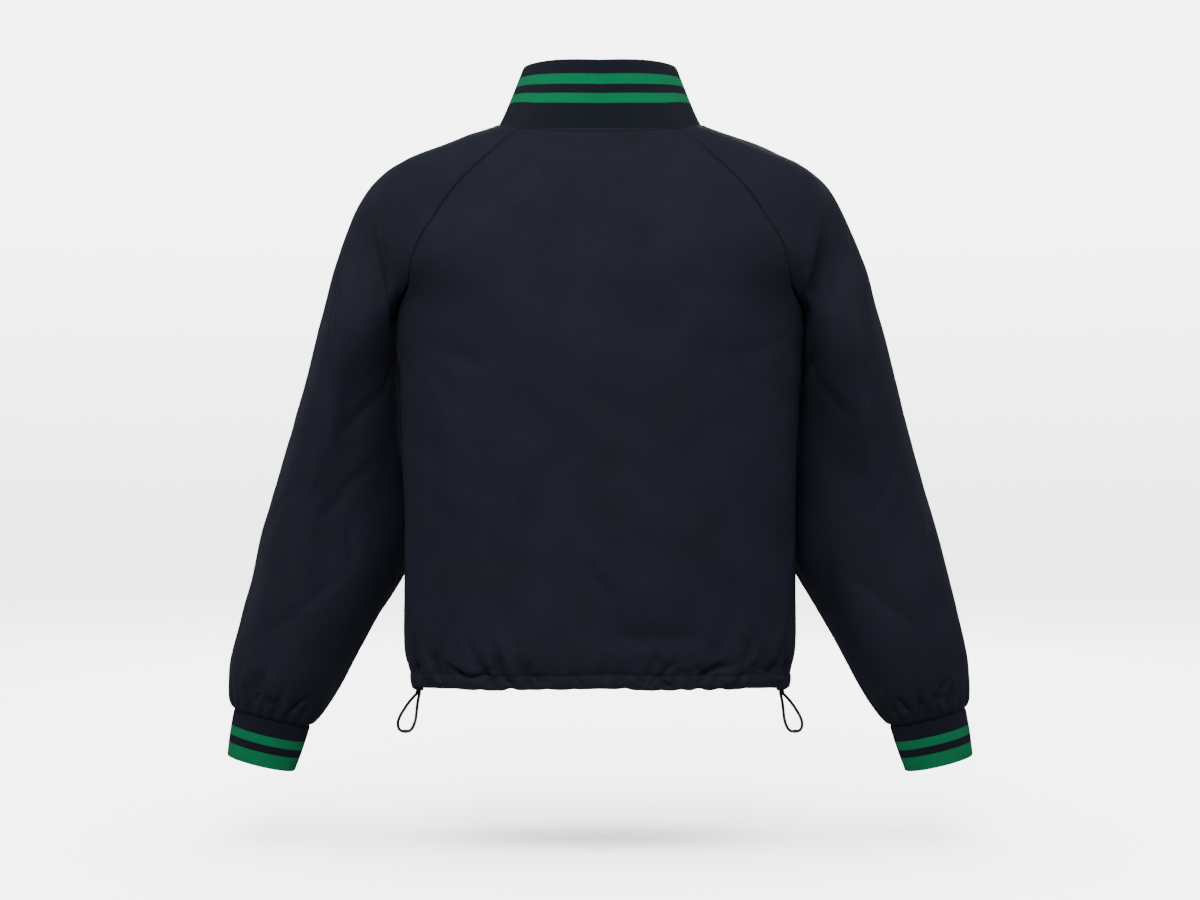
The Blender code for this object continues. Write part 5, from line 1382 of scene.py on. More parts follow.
def tunnel_depth(above_hem: Grid) -> Grid:
    """The tunnel's own profile: swollen by the cord inside it and pinched under its stitches."""
    swell = -TUNNEL_SWELL * np.sin(math.pi * np.clip(above_hem / CASING_HEIGHT, 0.0, 1.0))
    return swell + TUNNEL_SWELL * bell(above_hem - CASING_HEIGHT, TUNNEL_PINCH_HALF_WIDTH)


def seam_wave(v: Grid) -> Grid:
    """Uneven ripples along a seam: a sine whose pace and size are swung by slower ones."""
    turn = math.tau * np.where(v < 1.0, v, 2.0 * v - 1.0)
    swung = 33 * turn + 2.1 * np.sin(5 * turn + 0.4) + 1.3 * np.sin(11 * turn + 2.0)
    return np.sin(swung) * (0.6 + 0.4 * np.sin(3.3 * turn + 1.0))


def seam_depth(from_edge: Grid, wave: Grid | float) -> Grid:
    """The cloth beside a seam: it rolls down into it, and the ripples fade away from it.

    Args:
        from_edge: the distance from the seam.
        wave: the ripples, from -1 to 1.

    Returns:
        The depth, in metres.
    """
    groove = SEAM_GROOVE_DEPTH * bell(from_edge, SEAM_GROOVE_HALF_WIDTH)
    return groove + SEAM_RIPPLE * wave * np.exp(-from_edge / 0.006) * (1 - np.exp(-from_edge / 0.0012))


def drape(points: Grid, seed: int) -> Grid:
    """Soft uneven hanging: sines of seeded directions whose heights fall with their lengths.

    Args:
        points: where it is read.
        seed: what the directions and phases are drawn from.

    Returns:
        The depth, in metres.
    """
    draws = np.random.default_rng(seed)
    total = np.zeros(points.shape[:-1])
    for length, height in DRAPE_WAVES:
        for _ in range(4):
            way = unit(draws.normal(size=3) * [1.0, 0.6, 0.6])
            other = unit(draws.normal(size=3))
            phase = draws.uniform(0, math.tau, 2)
            swing = 1.3 * np.sin(points @ other * (2.9 / length) + phase[1])
            total += height / 2 * np.sin(points @ way * (math.tau / length) + phase[0] + swing)
    return total


def stations(*stops: tuple[float, int]) -> Grid:
    """Stations from 0 up: each stop says where a stretch ends and how many even steps it has."""
    ends = [0.0, *[end for end, _ in stops]]
    parts = [np.linspace(a, b, steps, endpoint=False) for a, b, (_, steps) in zip(ends, ends[1:], stops)]
    return np.concatenate([*parts, [ends[-1]]])


# ---------------- sub-assemblies
@dataclass
class BodyShell:
    """The back and front body panels, with their raglan and side seams and the cord tunnel hem."""

    wall: float = 0.0010
    slot_share: float = 0.02
    hem_roll: float = 0.0016
    hem_flare: float = 0.0030
    tuck_share: float = 1.4
    calm_at_side: float = 0.018
    calm_at_neck: float = 0.03
    slot_roll: float = 0.0007
    hem_wave: float = 0.0006
    hem_inside: tuple[float, ...] = (0.002, 0.006, 0.010, 0.0125)
    flat: tuple[tuple[float, float], ...] = ((0.560, 0.620), (0.560, 0.600))
    cut_area: tuple[float, float] = (0.290, 0.280)

    def rows(self) -> Grid:
        """The rows' stations, close together at the neck, the zip's end and the hem."""
        lower = ((ZIP_BOTTOM_V, 7), (1.86, 56), (HEM_STITCH_V, 24), (2.0, 11))
        return stations((0.03, 7), (0.12, 8), (1.0, 30), *lower)

    def columns(self, panel: Panel, v: Grid) -> Grid:
        """The columns of each row: even, close at the edge, and one on the zip's slot in front.

        The slot's column is where x, which grows evenly near the centre, is the slot's half width.

        Args:
            panel: the panel.
            v: the rows' stations.

        Returns:
            (rows, columns), from the centre (0) to the edge (1).
        """
        t = stations((self.slot_share, 1), (0.985, 139), (1.0, 6))
        if panel is Panel.BACK:
            return np.repeat(stations((0.985, 140), (1.0, 6))[None], len(v), axis=0)
        near = panel_half(panel, v, np.array([self.slot_share]))[:, :, 0]
        slot = self.slot_share * ZIP_SLOT_HALF_WIDTH / near
        outside = slot + (t - self.slot_share) * (1.0 - slot) / (1.0 - self.slot_share)
        return np.where(t < self.slot_share, t / self.slot_share * slot, outside)

    def surface(self, panel: Panel) -> tuple[Grid, Grid, Grid]:
        """A whole panel: the body's form less its folds, creases, gathers, tunnel and seams.

        Args:
            panel: the panel.

        Returns:
            The outer points, their UV and the rows' stations.
        """
        v = self.rows()
        t = self.columns(panel, v)
        around, down, above = panel_place(panel, v, t)
        half = body_point(panel, around, down)
        grid = both_halves(half, MIRROR)
        hem = body_point(panel, np.linspace(90.0, 0.0, 91), np.full(91, HEM_DOWN_AT_SIDE))
        along = both_halves(np.interp(90.0 - around, np.arange(91), run_length(hem)), -1.0)
        down, above, middle = both_halves(down), both_halves(above), grid.shape[1] // 2
        across = run_length(grid, axis=1)
        from_side = np.minimum(across, across[:, -1:] - across)
        from_neck = run_length(grid, axis=0)
        normal = grid_normals(grid)
        normal *= np.sign(panel.facing * normal[len(v) // 2, middle, 1])
        calm = smoothstep(from_side / self.calm_at_side)
        depth = (fold_depth(panel, grid[..., 0], down) + drape(grid, BODY_DRAPE_SEED)) * calm
        depth *= smoothstep((from_neck - SEAM_EDGE) / self.calm_at_neck)
        if panel is Panel.FRONT:
            beside = smoothstep((np.abs(grid[..., 0]) - 0.004) / 0.035)
            depth *= 1.0 - (1.0 - beside) * (1.0 - smoothstep((v - 1.1) / 0.1))[:, None]
            roll = self.slot_roll * bell(np.abs(grid[..., 0]) - ZIP_SLOT_HALF_WIDTH, 0.0012)
            depth += roll * (v <= ZIP_BOTTOM_V)[:, None]
        tucks = self.tuck_share * tuck_height(panel.facing * grid[..., 0], down, HEM_TUCKS)
        flare = self.hem_flare * smoothstep(1.0 - above / 0.03) * smoothstep(from_side / 0.07)
        depth += (gather_depth(panel, along, above) - tucks - flare) * calm + tunnel_depth(above)
        wave = seam_wave(v)[:, None]
        depth += np.maximum(seam_depth(from_side, wave), seam_depth(from_neck, seam_wave(along * 4.0)))
        grid = grid - normal * depth[..., None]
        swing = np.sin(along * (math.tau / 0.19) + 0.8) + 0.6 * np.sin(along * (math.tau / 0.083) + 2.0)
        rise = self.hem_wave * swing * np.exp(-above / 0.05)
        for at, height in np.array(HEM_NOTCHES) / 1000:
            aside = (along * panel.facing - at) / NOTCH_HALF_WIDTH
            rise += height * np.exp(-(aside**2) - above / NOTCH_REACH)
        grid[..., 2] += rise * calm
        uv = stacked(across - across[:, middle : middle + 1], -down)
        return grid, uv, v

    def with_hem(self, panel: Panel, grid: Grid, uv: Grid) -> tuple[Grid, Grid]:
        """Adds the hem's turning: half a circle inwards under the edge, then up inside.

        Args:
            panel: the panel.
            grid: its points.
            uv: their UV.

        Returns:
            The longer points and UV.
        """
        edge = grid[-1]
        out = grid_normals(grid)[-1] * [1.0, 1.0, 0.0]
        out = unit(out * np.sign(panel.facing * out[len(out) // 2, 1]))
        turn = np.radians(np.array([30.0, 65.0, 100.0, 140.0, 180.0]))[:, None, None]
        up = np.array([0.0, 0.0, 1.0])
        roll = edge + self.hem_roll * (out * (np.cos(turn) - 1.0) - up * np.sin(turn))
        inside = roll[-1:] + up * np.array(self.hem_inside)[:, None, None]
        grid = np.concatenate([grid, roll, inside])
        extra = run_length(np.concatenate([edge[None], roll, inside]), axis=0)[1:]
        more = stacked(np.repeat(uv[-1:, :, 0], len(extra), axis=0), uv[-1, :, 1] - extra)
        return grid, np.concatenate([uv, more])

    def build(self, cloth: Material, stitch: Topstitch) -> None:
        """Args:
            cloth: the shell's finish.
            stitch: the stitches.
        """
        hem_rows, neck_rows, zip_rows = [], [], []
        for number, panel in enumerate(Panel):
            grid, uv, v = self.surface(panel)
            columns = np.linspace(0, grid.shape[1] - 1, 3 * grid.shape[1])
            hem_row = float(np.argmin(np.abs(v - HEM_STITCH_V)))
            hem_rows.append(stitch.run(grid, np.full(len(columns), hem_row), columns))
            neck_rows.append(self.neck_stitches(panel, grid, stitch))
            if panel is Panel.FRONT:
                zip_rows.append(self.zip_stitches(grid, v, stitch))
            patch = grid_patch(*self.with_hem(panel, grid, uv))
            if panel is Panel.FRONT:
                middle = grid.shape[1] // 2
                keep = np.ones((len(grid) + 4 + len(self.hem_inside), grid.shape[1] - 1), bool)
                keep[: int(np.searchsorted(v, ZIP_BOTTOM_V - 1e-6)), middle - 1 : middle + 1] = False
                patch = patch[0], patch[1][keep.ravel()], patch[2][keep.ravel()]
            piece = make_piece(f"shell_{panel.value}", patch, cloth, (0.0, panel.facing, 0.0))
            dressed(walled(piece, self.wall), "shell_cloth", f"{panel.value}_panel")
        rows = {"hem_topstitch": hem_rows, "neck_topstitch_body": neck_rows, "zip_topstitch": zip_rows}
        for name, runs in rows.items():
            stitch.piece(name, runs)

    def neck_stitches(self, panel: Panel, grid: Grid, stitch: Topstitch) -> Patch:
        """The line of stitches below the collar seam, outside the zip's slot in front.

        Args:
            panel: the panel.
            grid: its outer points.
            stitch: the stitches.

        Returns:
            The stitches' patch.
        """
        line = row_at_distance(grid, NECK_STITCH_DISTANCE)
        columns = np.arange(len(line), dtype=float)
        if panel is Panel.BACK:
            return stitch.run(grid, line, columns)
        aside = np.abs(grid[3, :, 0]) > 0.009
        sides = [aside & (grid[3, :, 0] < 0), aside & (grid[3, :, 0] > 0)]
        return joined([stitch.run(grid, line[chosen], columns[chosen]) for chosen in sides])

    def zip_stitches(self, grid: Grid, v: Grid, stitch: Topstitch) -> Patch:
        """The stitches down both sides of the zip, and across below its end.

        Args:
            grid: the front panel's outer points.
            v: the rows' stations.
            stitch: the stitches.

        Returns:
            The stitches' patch.
        """
        last = int(np.searchsorted(v, ZIP_BOTTOM_V + ZIP_STITCH_BELOW_V))
        rows = np.arange(2.0, last + 1.0)
        across = run_length(grid, axis=1)
        away = across - across[:, grid.shape[1] // 2][:, None]
        sides = []
        for aside in (-ZIP_STITCH_ASIDE, ZIP_STITCH_ASIDE):
            at = [np.interp(aside, away[int(row)], np.arange(grid.shape[1])) for row in rows]
            sides.append((rows, np.array(at)))
        ends = [side[1][-1] for side in sides]
        sides.append((np.full(24, float(last)), np.linspace(min(ends), max(ends), 24)))
        return joined([stitch.run(grid, *side) for side in sides])


def row_at_distance(grid: Grid, distance: float) -> Grid:
    """For each column, the fractional row at which the length run down it reaches the distance.

    Args:
        grid: the points.
        distance: in metres.

    Returns:
        One row number for each column.
    """
    length = run_length(grid, axis=0)
    after = np.argmax(length > distance, axis=0)
    column = np.arange(grid.shape[1])
    before = length[after - 1, column]
    return after - 1 + (distance - before) / (length[after, column] - before)


@dataclass
class RaglanSleeve:
    """One sleeve: an arc from neck to underarm, then a ring that is gathered into the cuff."""

    side: Side
    wall: float = 0.0010
    flat: tuple[float, float] = (0.460, 0.680)
    cut_area: float = 0.257
    ease_reach: float = 0.034
    calm_at_seam: float = 0.016
    calm_at_neck: float = 0.03
    cuff_groove: float = 0.0010
    drawn_reach: float = 0.012
    tuck: tuple[tuple[float, float], ...] = ((0.0010, 0.0022), (0.0060, 0.0042))

    def pucker_depth(self, from_cuff: Grid, turn: Grid) -> Grid:
        """The puckers above the cuff seam: placed ones and small seeded ones, drawn in at the seam.

        Args:
            from_cuff: each row's distance from the seam.
            turn: each column's turn in degrees.

        Returns:
            The depth, in metres.
        """
        draws = np.random.default_rng(PUCKER_SEED[self.side])
        small = [draws.uniform(*SMALL_PUCKERS) + [at, 0, 0, 0] for at in np.linspace(0.0, 350.0, 36)]
        total = np.zeros((len(from_cuff), len(turn)))
        for angle, half_angle, reach, depth in [*CUFF_PUCKERS, *small]:
            aside = ((turn[None, :] - angle + 180.0) % 360.0 - 180.0) / half_angle
            fade = bell(from_cuff[:, None] * 1000, reach)
            total += depth / 1000 * fade * crease_with_puffs(aside, 0.25)
        return total * (DRAWN_IN + (1 - DRAWN_IN) * smoothstep(from_cuff / self.drawn_reach))[:, None]

    def eased(self, grid: Grid, v: Grid, length: Grid, from_seam: Grid) -> Grid:
        """Evens out the sleeve's depth along it, by an average weighted by a bell of the length.

        Args:
            grid: its points.
            v: the rows' stations.
            length: each point's place down its own column.
            from_seam: each point's distance from the seam or the inner line.

        Returns:
            The points, moved along Y alone.
        """
        weight = np.exp(-0.5 * ((length[:, None] - length) / self.ease_reach) ** 2)
        weight *= np.gradient(length, axis=0)
        even = (weight * grid[..., 1]).sum(axis=1) / weight.sum(axis=1)
        share = smoothstep((v - 0.35) / 0.3) * smoothstep((1.75 - v) / 0.3)
        share = share[:, None] * smoothstep((from_seam - 0.004) / 0.03)
        return stacked(grid[..., 0], grid[..., 1] + (even - grid[..., 1]) * share, grid[..., 2])

    def surface(self) -> tuple[Grid, Grid, Grid]:
        """The sleeve in the left one's place: its form less its folds, tucks, puckers and seams.

        Returns:
            The outer points, their UV and the rows' stations.
        """
        v = stations((0.03, 7), (0.12, 9), (0.97, 40), (1.0, 4), (1.90, 84), (2.0, 30))
        t = stations((0.012, 5), (1.0, 94))
        back = sleeve_half(Panel.BACK, v, t)
        grid = np.concatenate([back, sleeve_half(Panel.FRONT, v, t)[:, -2::-1]], axis=1)
        turn = np.concatenate([180.0 * (1.0 - t), 360.0 - 180.0 * (1.0 - t[-2::-1])])
        middle = grid.shape[1] // 2
        across = run_length(grid, axis=1)
        from_seam = np.minimum(across, across[:, -1:] - across)
        from_neck = run_length(grid, axis=0)
        grid = self.eased(grid, v, from_neck, from_seam)
        normal = grid_normals(grid)
        normal *= np.sign(normal[120, middle, 0])
        other = Side.RIGHT if self.side is Side.LEFT else Side.LEFT
        near, far = grid[:, : middle + 1], grid[:, middle + 1 :]
        tucks = [tuck_height(near[..., 0], -near[..., 2], SLEEVE_TUCKS[self.side])]
        tucks.append(tuck_height(far[..., 0], -far[..., 2], SLEEVE_TUCKS[other]))
        depth = -np.concatenate(tucks, axis=1)
        for from_v, from_turn, to_v, to_turn, half_turn, deep in SLEEVE_FOLDS[self.side]:
            along = ((v - from_v) / (to_v - from_v))[:, None]
            aside = (turn[None, :] - from_turn - (to_turn - from_turn) * along + 180.0) % 360.0 - 180.0
            depth += deep / 1000 * trough(aside, along, half_turn)
        depth += drape(grid, SLEEVE_DRAPE_SEED[self.side])
        calm = smoothstep((from_neck - SEAM_EDGE) / self.calm_at_neck)
        depth *= smoothstep(from_seam / self.calm_at_seam) * calm
        from_cuff = (from_neck[-1] - from_neck)[:, middle]
        depth += self.pucker_depth(from_cuff, turn) * (v > 1.5)[:, None]
        neck_wave = seam_wave(turn[None, :] / 90.0)
        depth += np.maximum(seam_depth(from_seam, seam_wave(v)[:, None]), seam_depth(from_neck, neck_wave))
        depth += self.cuff_groove * bell(from_cuff, SEAM_GROOVE_HALF_WIDTH)[:, None]
        down = np.broadcast_to(-from_neck[:, middle, None], across.shape)
        uv = stacked(across - across[:, middle : middle + 1], down)
        return grid - normal * depth[..., None], uv, v

    def build(self, cloth: Material, stitch: Topstitch) -> None:
        """Makes the sleeve with its end tucked into the cuff, and its stitches below the collar.

        Args:
            cloth: the shell's finish.
            stitch: the stitches.
        """
        grid, uv, v = self.surface()
        grid = grid * self.side.mirror
        line = row_at_distance(grid, NECK_STITCH_DISTANCE)
        stitches = stitch.run(grid, line, np.arange(len(line), dtype=float))
        ring = grid[-1]
        centre = ring.mean(axis=0)
        down = unit(centre - grid[-12].mean(axis=0))
        tucked = [ring + down * run + unit(centre - ring) * inset for run, inset in self.tuck]
        grid = np.concatenate([grid, np.array(tucked)])
        uv = np.concatenate([uv, uv[-1:] - [0.0, 0.002], uv[-1:] - [0.0, 0.007]])
        index = np.arange(grid[..., 0].size).reshape(grid.shape[:2])
        ring_rows = np.concatenate([v, [2.0, 2.0]]) >= 1.0
        index[ring_rows, -1] = index[ring_rows, 0]
        name = self.side.value
        piece = make_piece(f"shell_sleeve_{name}", grid_patch(grid, uv, index), cloth, self.side.out)
        dressed(walled(piece, self.wall), "shell_cloth", f"sleeve_{name}")
        stitch.piece(f"neck_topstitch_{name}", [stitches])


@dataclass
class RibBand:
    """What the collar and the cuffs share: a double rib band with a round edge and raised ribs."""

    length: float
    wall: float = RIB_WALL
    relief: float = 0.00042
    per_rib: int = 5
    outer_rows: int = 18
    allowance: float = 0.0070
    seam_roll: float = 0.0013
    seam_roll_reach: float = 0.0015
    edge_relief: float = 0.35
    inside_relief: float = -0.45

    def profile(self) -> tuple[Grid, Grid, Grid, Grid]:
        """The band's closed section: up the outer side, round the edge and down the inner side.

        The section rolls in at the seam by a bell curve, and its inner side runs on past it.

        Returns:
            For each row, its share up the band, its inset, its UV height and the ribs' strength.
        """
        rise = np.linspace(0.0, 1.0, self.outer_rows) ** 1.15
        low = -self.allowance / self.length
        turn = np.radians(np.array([36.0, 72.0, 108.0, 144.0]))
        half = self.wall / 2
        back = np.linspace(1.0, low, 10)
        share = np.concatenate([rise, 1.0 + half * np.sin(turn) / self.length, back, [low]])
        inset = np.concatenate([0 * rise, half * (1 - np.cos(turn)), 0 * back + self.wall, [half]])
        inset[: len(rise)] += self.seam_roll * bell(rise * self.length, self.seam_roll_reach)
        height = np.clip(share, 0.0, 1.0) * self.length
        top = smoothstep((1.0 - rise) * self.length / 0.003)
        outer = smoothstep(rise * self.length / 0.0035) * (self.edge_relief + (1 - self.edge_relief) * top)
        edge, inside = 0 * turn + self.edge_relief, 0 * back + self.inside_relief
        strength = np.concatenate([outer, edge, inside, [0.0]])
        return share, inset, height, strength * self.relief

    def ribs(self, columns: int) -> Grid:
        """The valleys between ribs: 1 less the 0.7 power of a sine's size, over the columns."""
        return 1.0 - np.abs(np.sin(np.arange(columns) * math.pi / self.per_rib)) ** 0.7


@dataclass
class RibCollar(RibBand):
    """The stand collar, from its seam on the neck's edge to its rolled top, open at the zip."""

    length: float = 0.0722
    ribs_in_half: int = 118
    flat: tuple[float, float] = (0.620, 0.072)
    top_half_width: float = 0.0850
    top_half_depth: float = 0.0845
    hollow: float = 0.0016

    def half(self, count: int, rises: Grid) -> tuple[Grid, Grid]:
        """Half the collar: straight lines from the neck's edge to the top one, hollowed a little.

        Args:
            count: its columns.
            rises: its rows, as shares up it.

        Returns:
            The points, and each column's outward direction.
        """
        base = neck_ring(count)
        round_way = np.linspace(0.0, 1.0, count)
        angle = np.radians(COLLAR_TOP.at("angle", round_way))
        across, depth = self.top_half_width * np.sin(angle), self.top_half_depth * np.cos(angle) - 0.0015
        top = stacked(across, depth, COLLAR_TOP.at("height", round_way))
        top[-1, 0] = ZIP_SLOT_HALF_WIDTH
        outward = stacked(np.sin(angle), np.cos(angle), 0.0)
        bend = self.hollow * np.sin(math.pi * np.sqrt(np.clip(rises, 0.0, 1.0)))[:, None, None] * outward
        bend[:, -1] *= [0.0, 1.0, 1.0]
        return base + (top - base) * rises[:, None, None] - bend, outward

    def build(self, knit: Material) -> None:
        """Args:
            knit: its finish.
        """
        share, inset, height, strength = self.profile()
        half, outward = self.half(self.ribs_in_half * self.per_rib + 1, share)
        grid = both_halves(half, MIRROR)
        outward = both_halves(outward[None], MIRROR)[0]
        sunk = inset[:, None] + strength[:, None] * self.ribs(grid.shape[1])[None, :]
        grid = grid - outward * sunk[..., None]
        across = run_length(grid[:1], axis=1)[0]
        uv = stacked((across - across[-1] / 2)[None], height[:, None])
        rows, columns = grid.shape[:2]
        index = np.arange(rows * columns).reshape(rows, columns)
        points, (_, faces, corners) = grid.reshape(-1, 3), looped(grid, uv, index)
        pairs = rows // 2
        for column in (0, columns - 1):
            facing = np.stack([index[:pairs, column], index[::-1][:pairs, column]])
            cap = grid_patch(points[facing], uv.reshape(-1, 2)[facing], facing)
            faces, corners = np.concatenate([faces, cap[1]]), np.concatenate([corners, cap[2]])
        piece = make_piece("rib_collar", (points, faces, corners), knit, (0.0, 1.0, 0.0))
        dressed(piece, "rib_knit", "collar")


@dataclass
class RibCuff(RibBand):
    """A rib cuff: a short tube beyond the sleeve's end, a little narrower at its own end."""

    length: float = 0.0520
    side: Side = Side.LEFT
    ribs_round: int = 98
    seam_gap: float = 0.0003
    swell: float = 0.018
    start: tuple[float, float] = (0.0430, 0.0350)
    end: tuple[float, float] = (0.0384, 0.0310)
    flat: tuple[float, float] = (0.240, 0.052)

    def build(self, knit: Material) -> None:
        """Makes the cuff: each ring is an ellipse square to the line from the sleeve's end.

        Args:
            knit: its finish.
        """
        share, inset, height, strength = self.profile()
        ends = sleeve_half(Panel.BACK, np.array([2.0]), np.array([0.0, 1.0]))[0]
        across = unit(ends[1] - ends[0])
        forward = np.array([0.0, 1.0, 0.0])
        axis = np.cross(across, forward)
        axis *= -np.sign(axis[2])
        columns = self.ribs_round * self.per_rib + 1
        turn = np.linspace(math.pi, -math.pi, columns)[None, :, None]
        rise = share[:, None, None]
        wide = self.start[0] + (self.end[0] - self.start[0]) * rise
        deep = self.start[1] + (self.end[1] - self.start[1]) * rise
        swell = 1 + self.swell * np.sin(math.pi * np.clip(rise, 0.0, 1.0))
        ring = (across * wide * np.cos(turn) + forward * deep * np.sin(turn)) * swell
        sunk = inset[:, None] + strength[:, None] * self.ribs(columns)[None, :]
        grid = ends.mean(axis=0) + axis * (self.seam_gap + self.length * rise) + ring
        grid -= unit(ring) * sunk[..., None]
        grid *= self.side.mirror
        around = run_length(grid[:1], axis=1)[0]
        uv = stacked(around[None], height[:, None])
        index = np.arange(grid[..., 0].size).reshape(grid.shape[:2])
        index[:, -1] = index[:, 0]
        name = self.side.value
        piece = make_piece(f"rib_cuff_{name}", looped(grid, uv, index), knit, self.side.out)
        dressed(piece, "rib_knit", f"cuff_{name}")


@dataclass
class QuarterZip:
    """The closed zip in front: two rows of interlocked teeth on woven tapes, and its fittings."""

    pitch: float = 0.0018
    chain_depth: float = 0.0012
    tooth_radius: float = 0.00058
    tape_inner: float = 0.0009
    tape_outer: float = 0.0150
    tape_wall: float = 0.0008
    tape_sunk: float = 0.0006
    tape_rise: float = 0.0004
    fitting_nodes: tuple[str, ...] = ("zip_slider", "zip_bottom_stop", "zip_pull")
    flat: tuple[float, float] = (0.0141, 0.258)

    def line(self, collar: RibCollar) -> tuple[Grid, Grid, Grid]:
        """The zip's middle line up the front's centre and the collar's edge.

        Args:
            collar: the collar, for its front edge.

        Returns:
            The points, each one's outward direction and how far it is on the collar, below 0 off it.
        """
        v = np.linspace(ZIP_BOTTOM_V, 0.0, 60)
        chest = panel_half(Panel.FRONT, v, np.array([0.0]))[:, 0]
        rises = np.linspace(0.0, 1.0, 24)
        edge = collar.half(25, rises)[0][1:, -1] * [0.0, 1.0, 1.0]
        line = np.concatenate([chest, edge])
        outward = np.cross(unit(np.gradient(line, axis=0)), [-1.0, 0.0, 0.0])
        outward *= -np.sign(outward[:, 1:2])
        return line, outward, np.concatenate([np.full(59, -1.0), rises])

    def tooth(self, sign: float) -> Patch:
        """One moulded tooth along X: a tube with a wide foot, a neck and a round head.

        Args:
            sign: on which side of the zip it stands.

        Returns:
            The patch.
        """
        reach = np.array([0.0030, 0.0028, 0.0019, 0.0012, 0.0006, 0.0001, -0.0005, -0.0007])
        swell = np.array([0.55, 0.95, 1.0, 0.82, 0.66, 0.98, 0.9, 0.5])
        path = stacked(sign * reach, 0.0, 0.0)
        return tube(path, self.tooth_radius * swell, 6, 1.75)

    def build(self, collar: RibCollar, tape: Material, plastic: Material) -> None:
        """Makes the teeth and tapes, and finishes the CAD's slider, bottom stop and pull.

        Args:
            collar: the collar that the zip runs up.
            tape: the tapes' finish.
            plastic: the teeth's and fittings' finish.
        """
        line, outward, on_collar = self.line(collar)
        length = run_length(line)
        along = unit(np.gradient(line, axis=0))
        rows = []
        for sign, shift in ((1.0, 0.25), (-1.0, 0.75)):
            at = np.arange(self.pitch * shift + 0.0006, length[-1] - 0.0005, self.pitch)
            out = unit(along_line(at, length, outward))
            place = along_line(at, length, line) - out * (self.chain_depth + self.tooth_radius * 1.2)
            side = np.tile([1.0, 0.0, 0.0], (len(at), 1))
            axes = np.stack([side, out, unit(along_line(at, length, along))], axis=1)
            rows.append(row_of(self.tooth(sign), place, axes))
        piece = make_piece("zip_teeth", joined(rows), plastic, merge=MERGE)
        dressed(piece, "zip_moulded", "zip_chain")
        sunk = SHELL_WALL + (RIB_WALL - SHELL_WALL) * smoothstep((on_collar + 0.02) / 0.06) + self.tape_sunk
        for side in Side:
            x = np.linspace(self.tape_inner, self.tape_outer, 15)
            bend = np.maximum(on_collar, 0.0)[:, None] / 0.169 * x[None] ** 2
            rise = self.tape_rise * bell(x - self.tape_inner, 0.0016)
            deep = (sunk[:, None] + bend - rise[None])[..., None]
            sideways = np.array(side.out) * x[None, :, None]
            grid = line[:, None] - outward[:, None] * deep + sideways
            uv = stacked(x[None], length[:, None])
            name = side.value
            strip = make_piece(f"zip_tape_{name}_cloth", grid_patch(grid, uv), tape, (0.0, -1.0, 0.0))
            dressed(walled(strip, self.tape_wall), "zip_tape", f"zip_tape_{name}")
        for node in self.fitting_nodes:
            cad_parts[node].material_slots[0].material = plastic


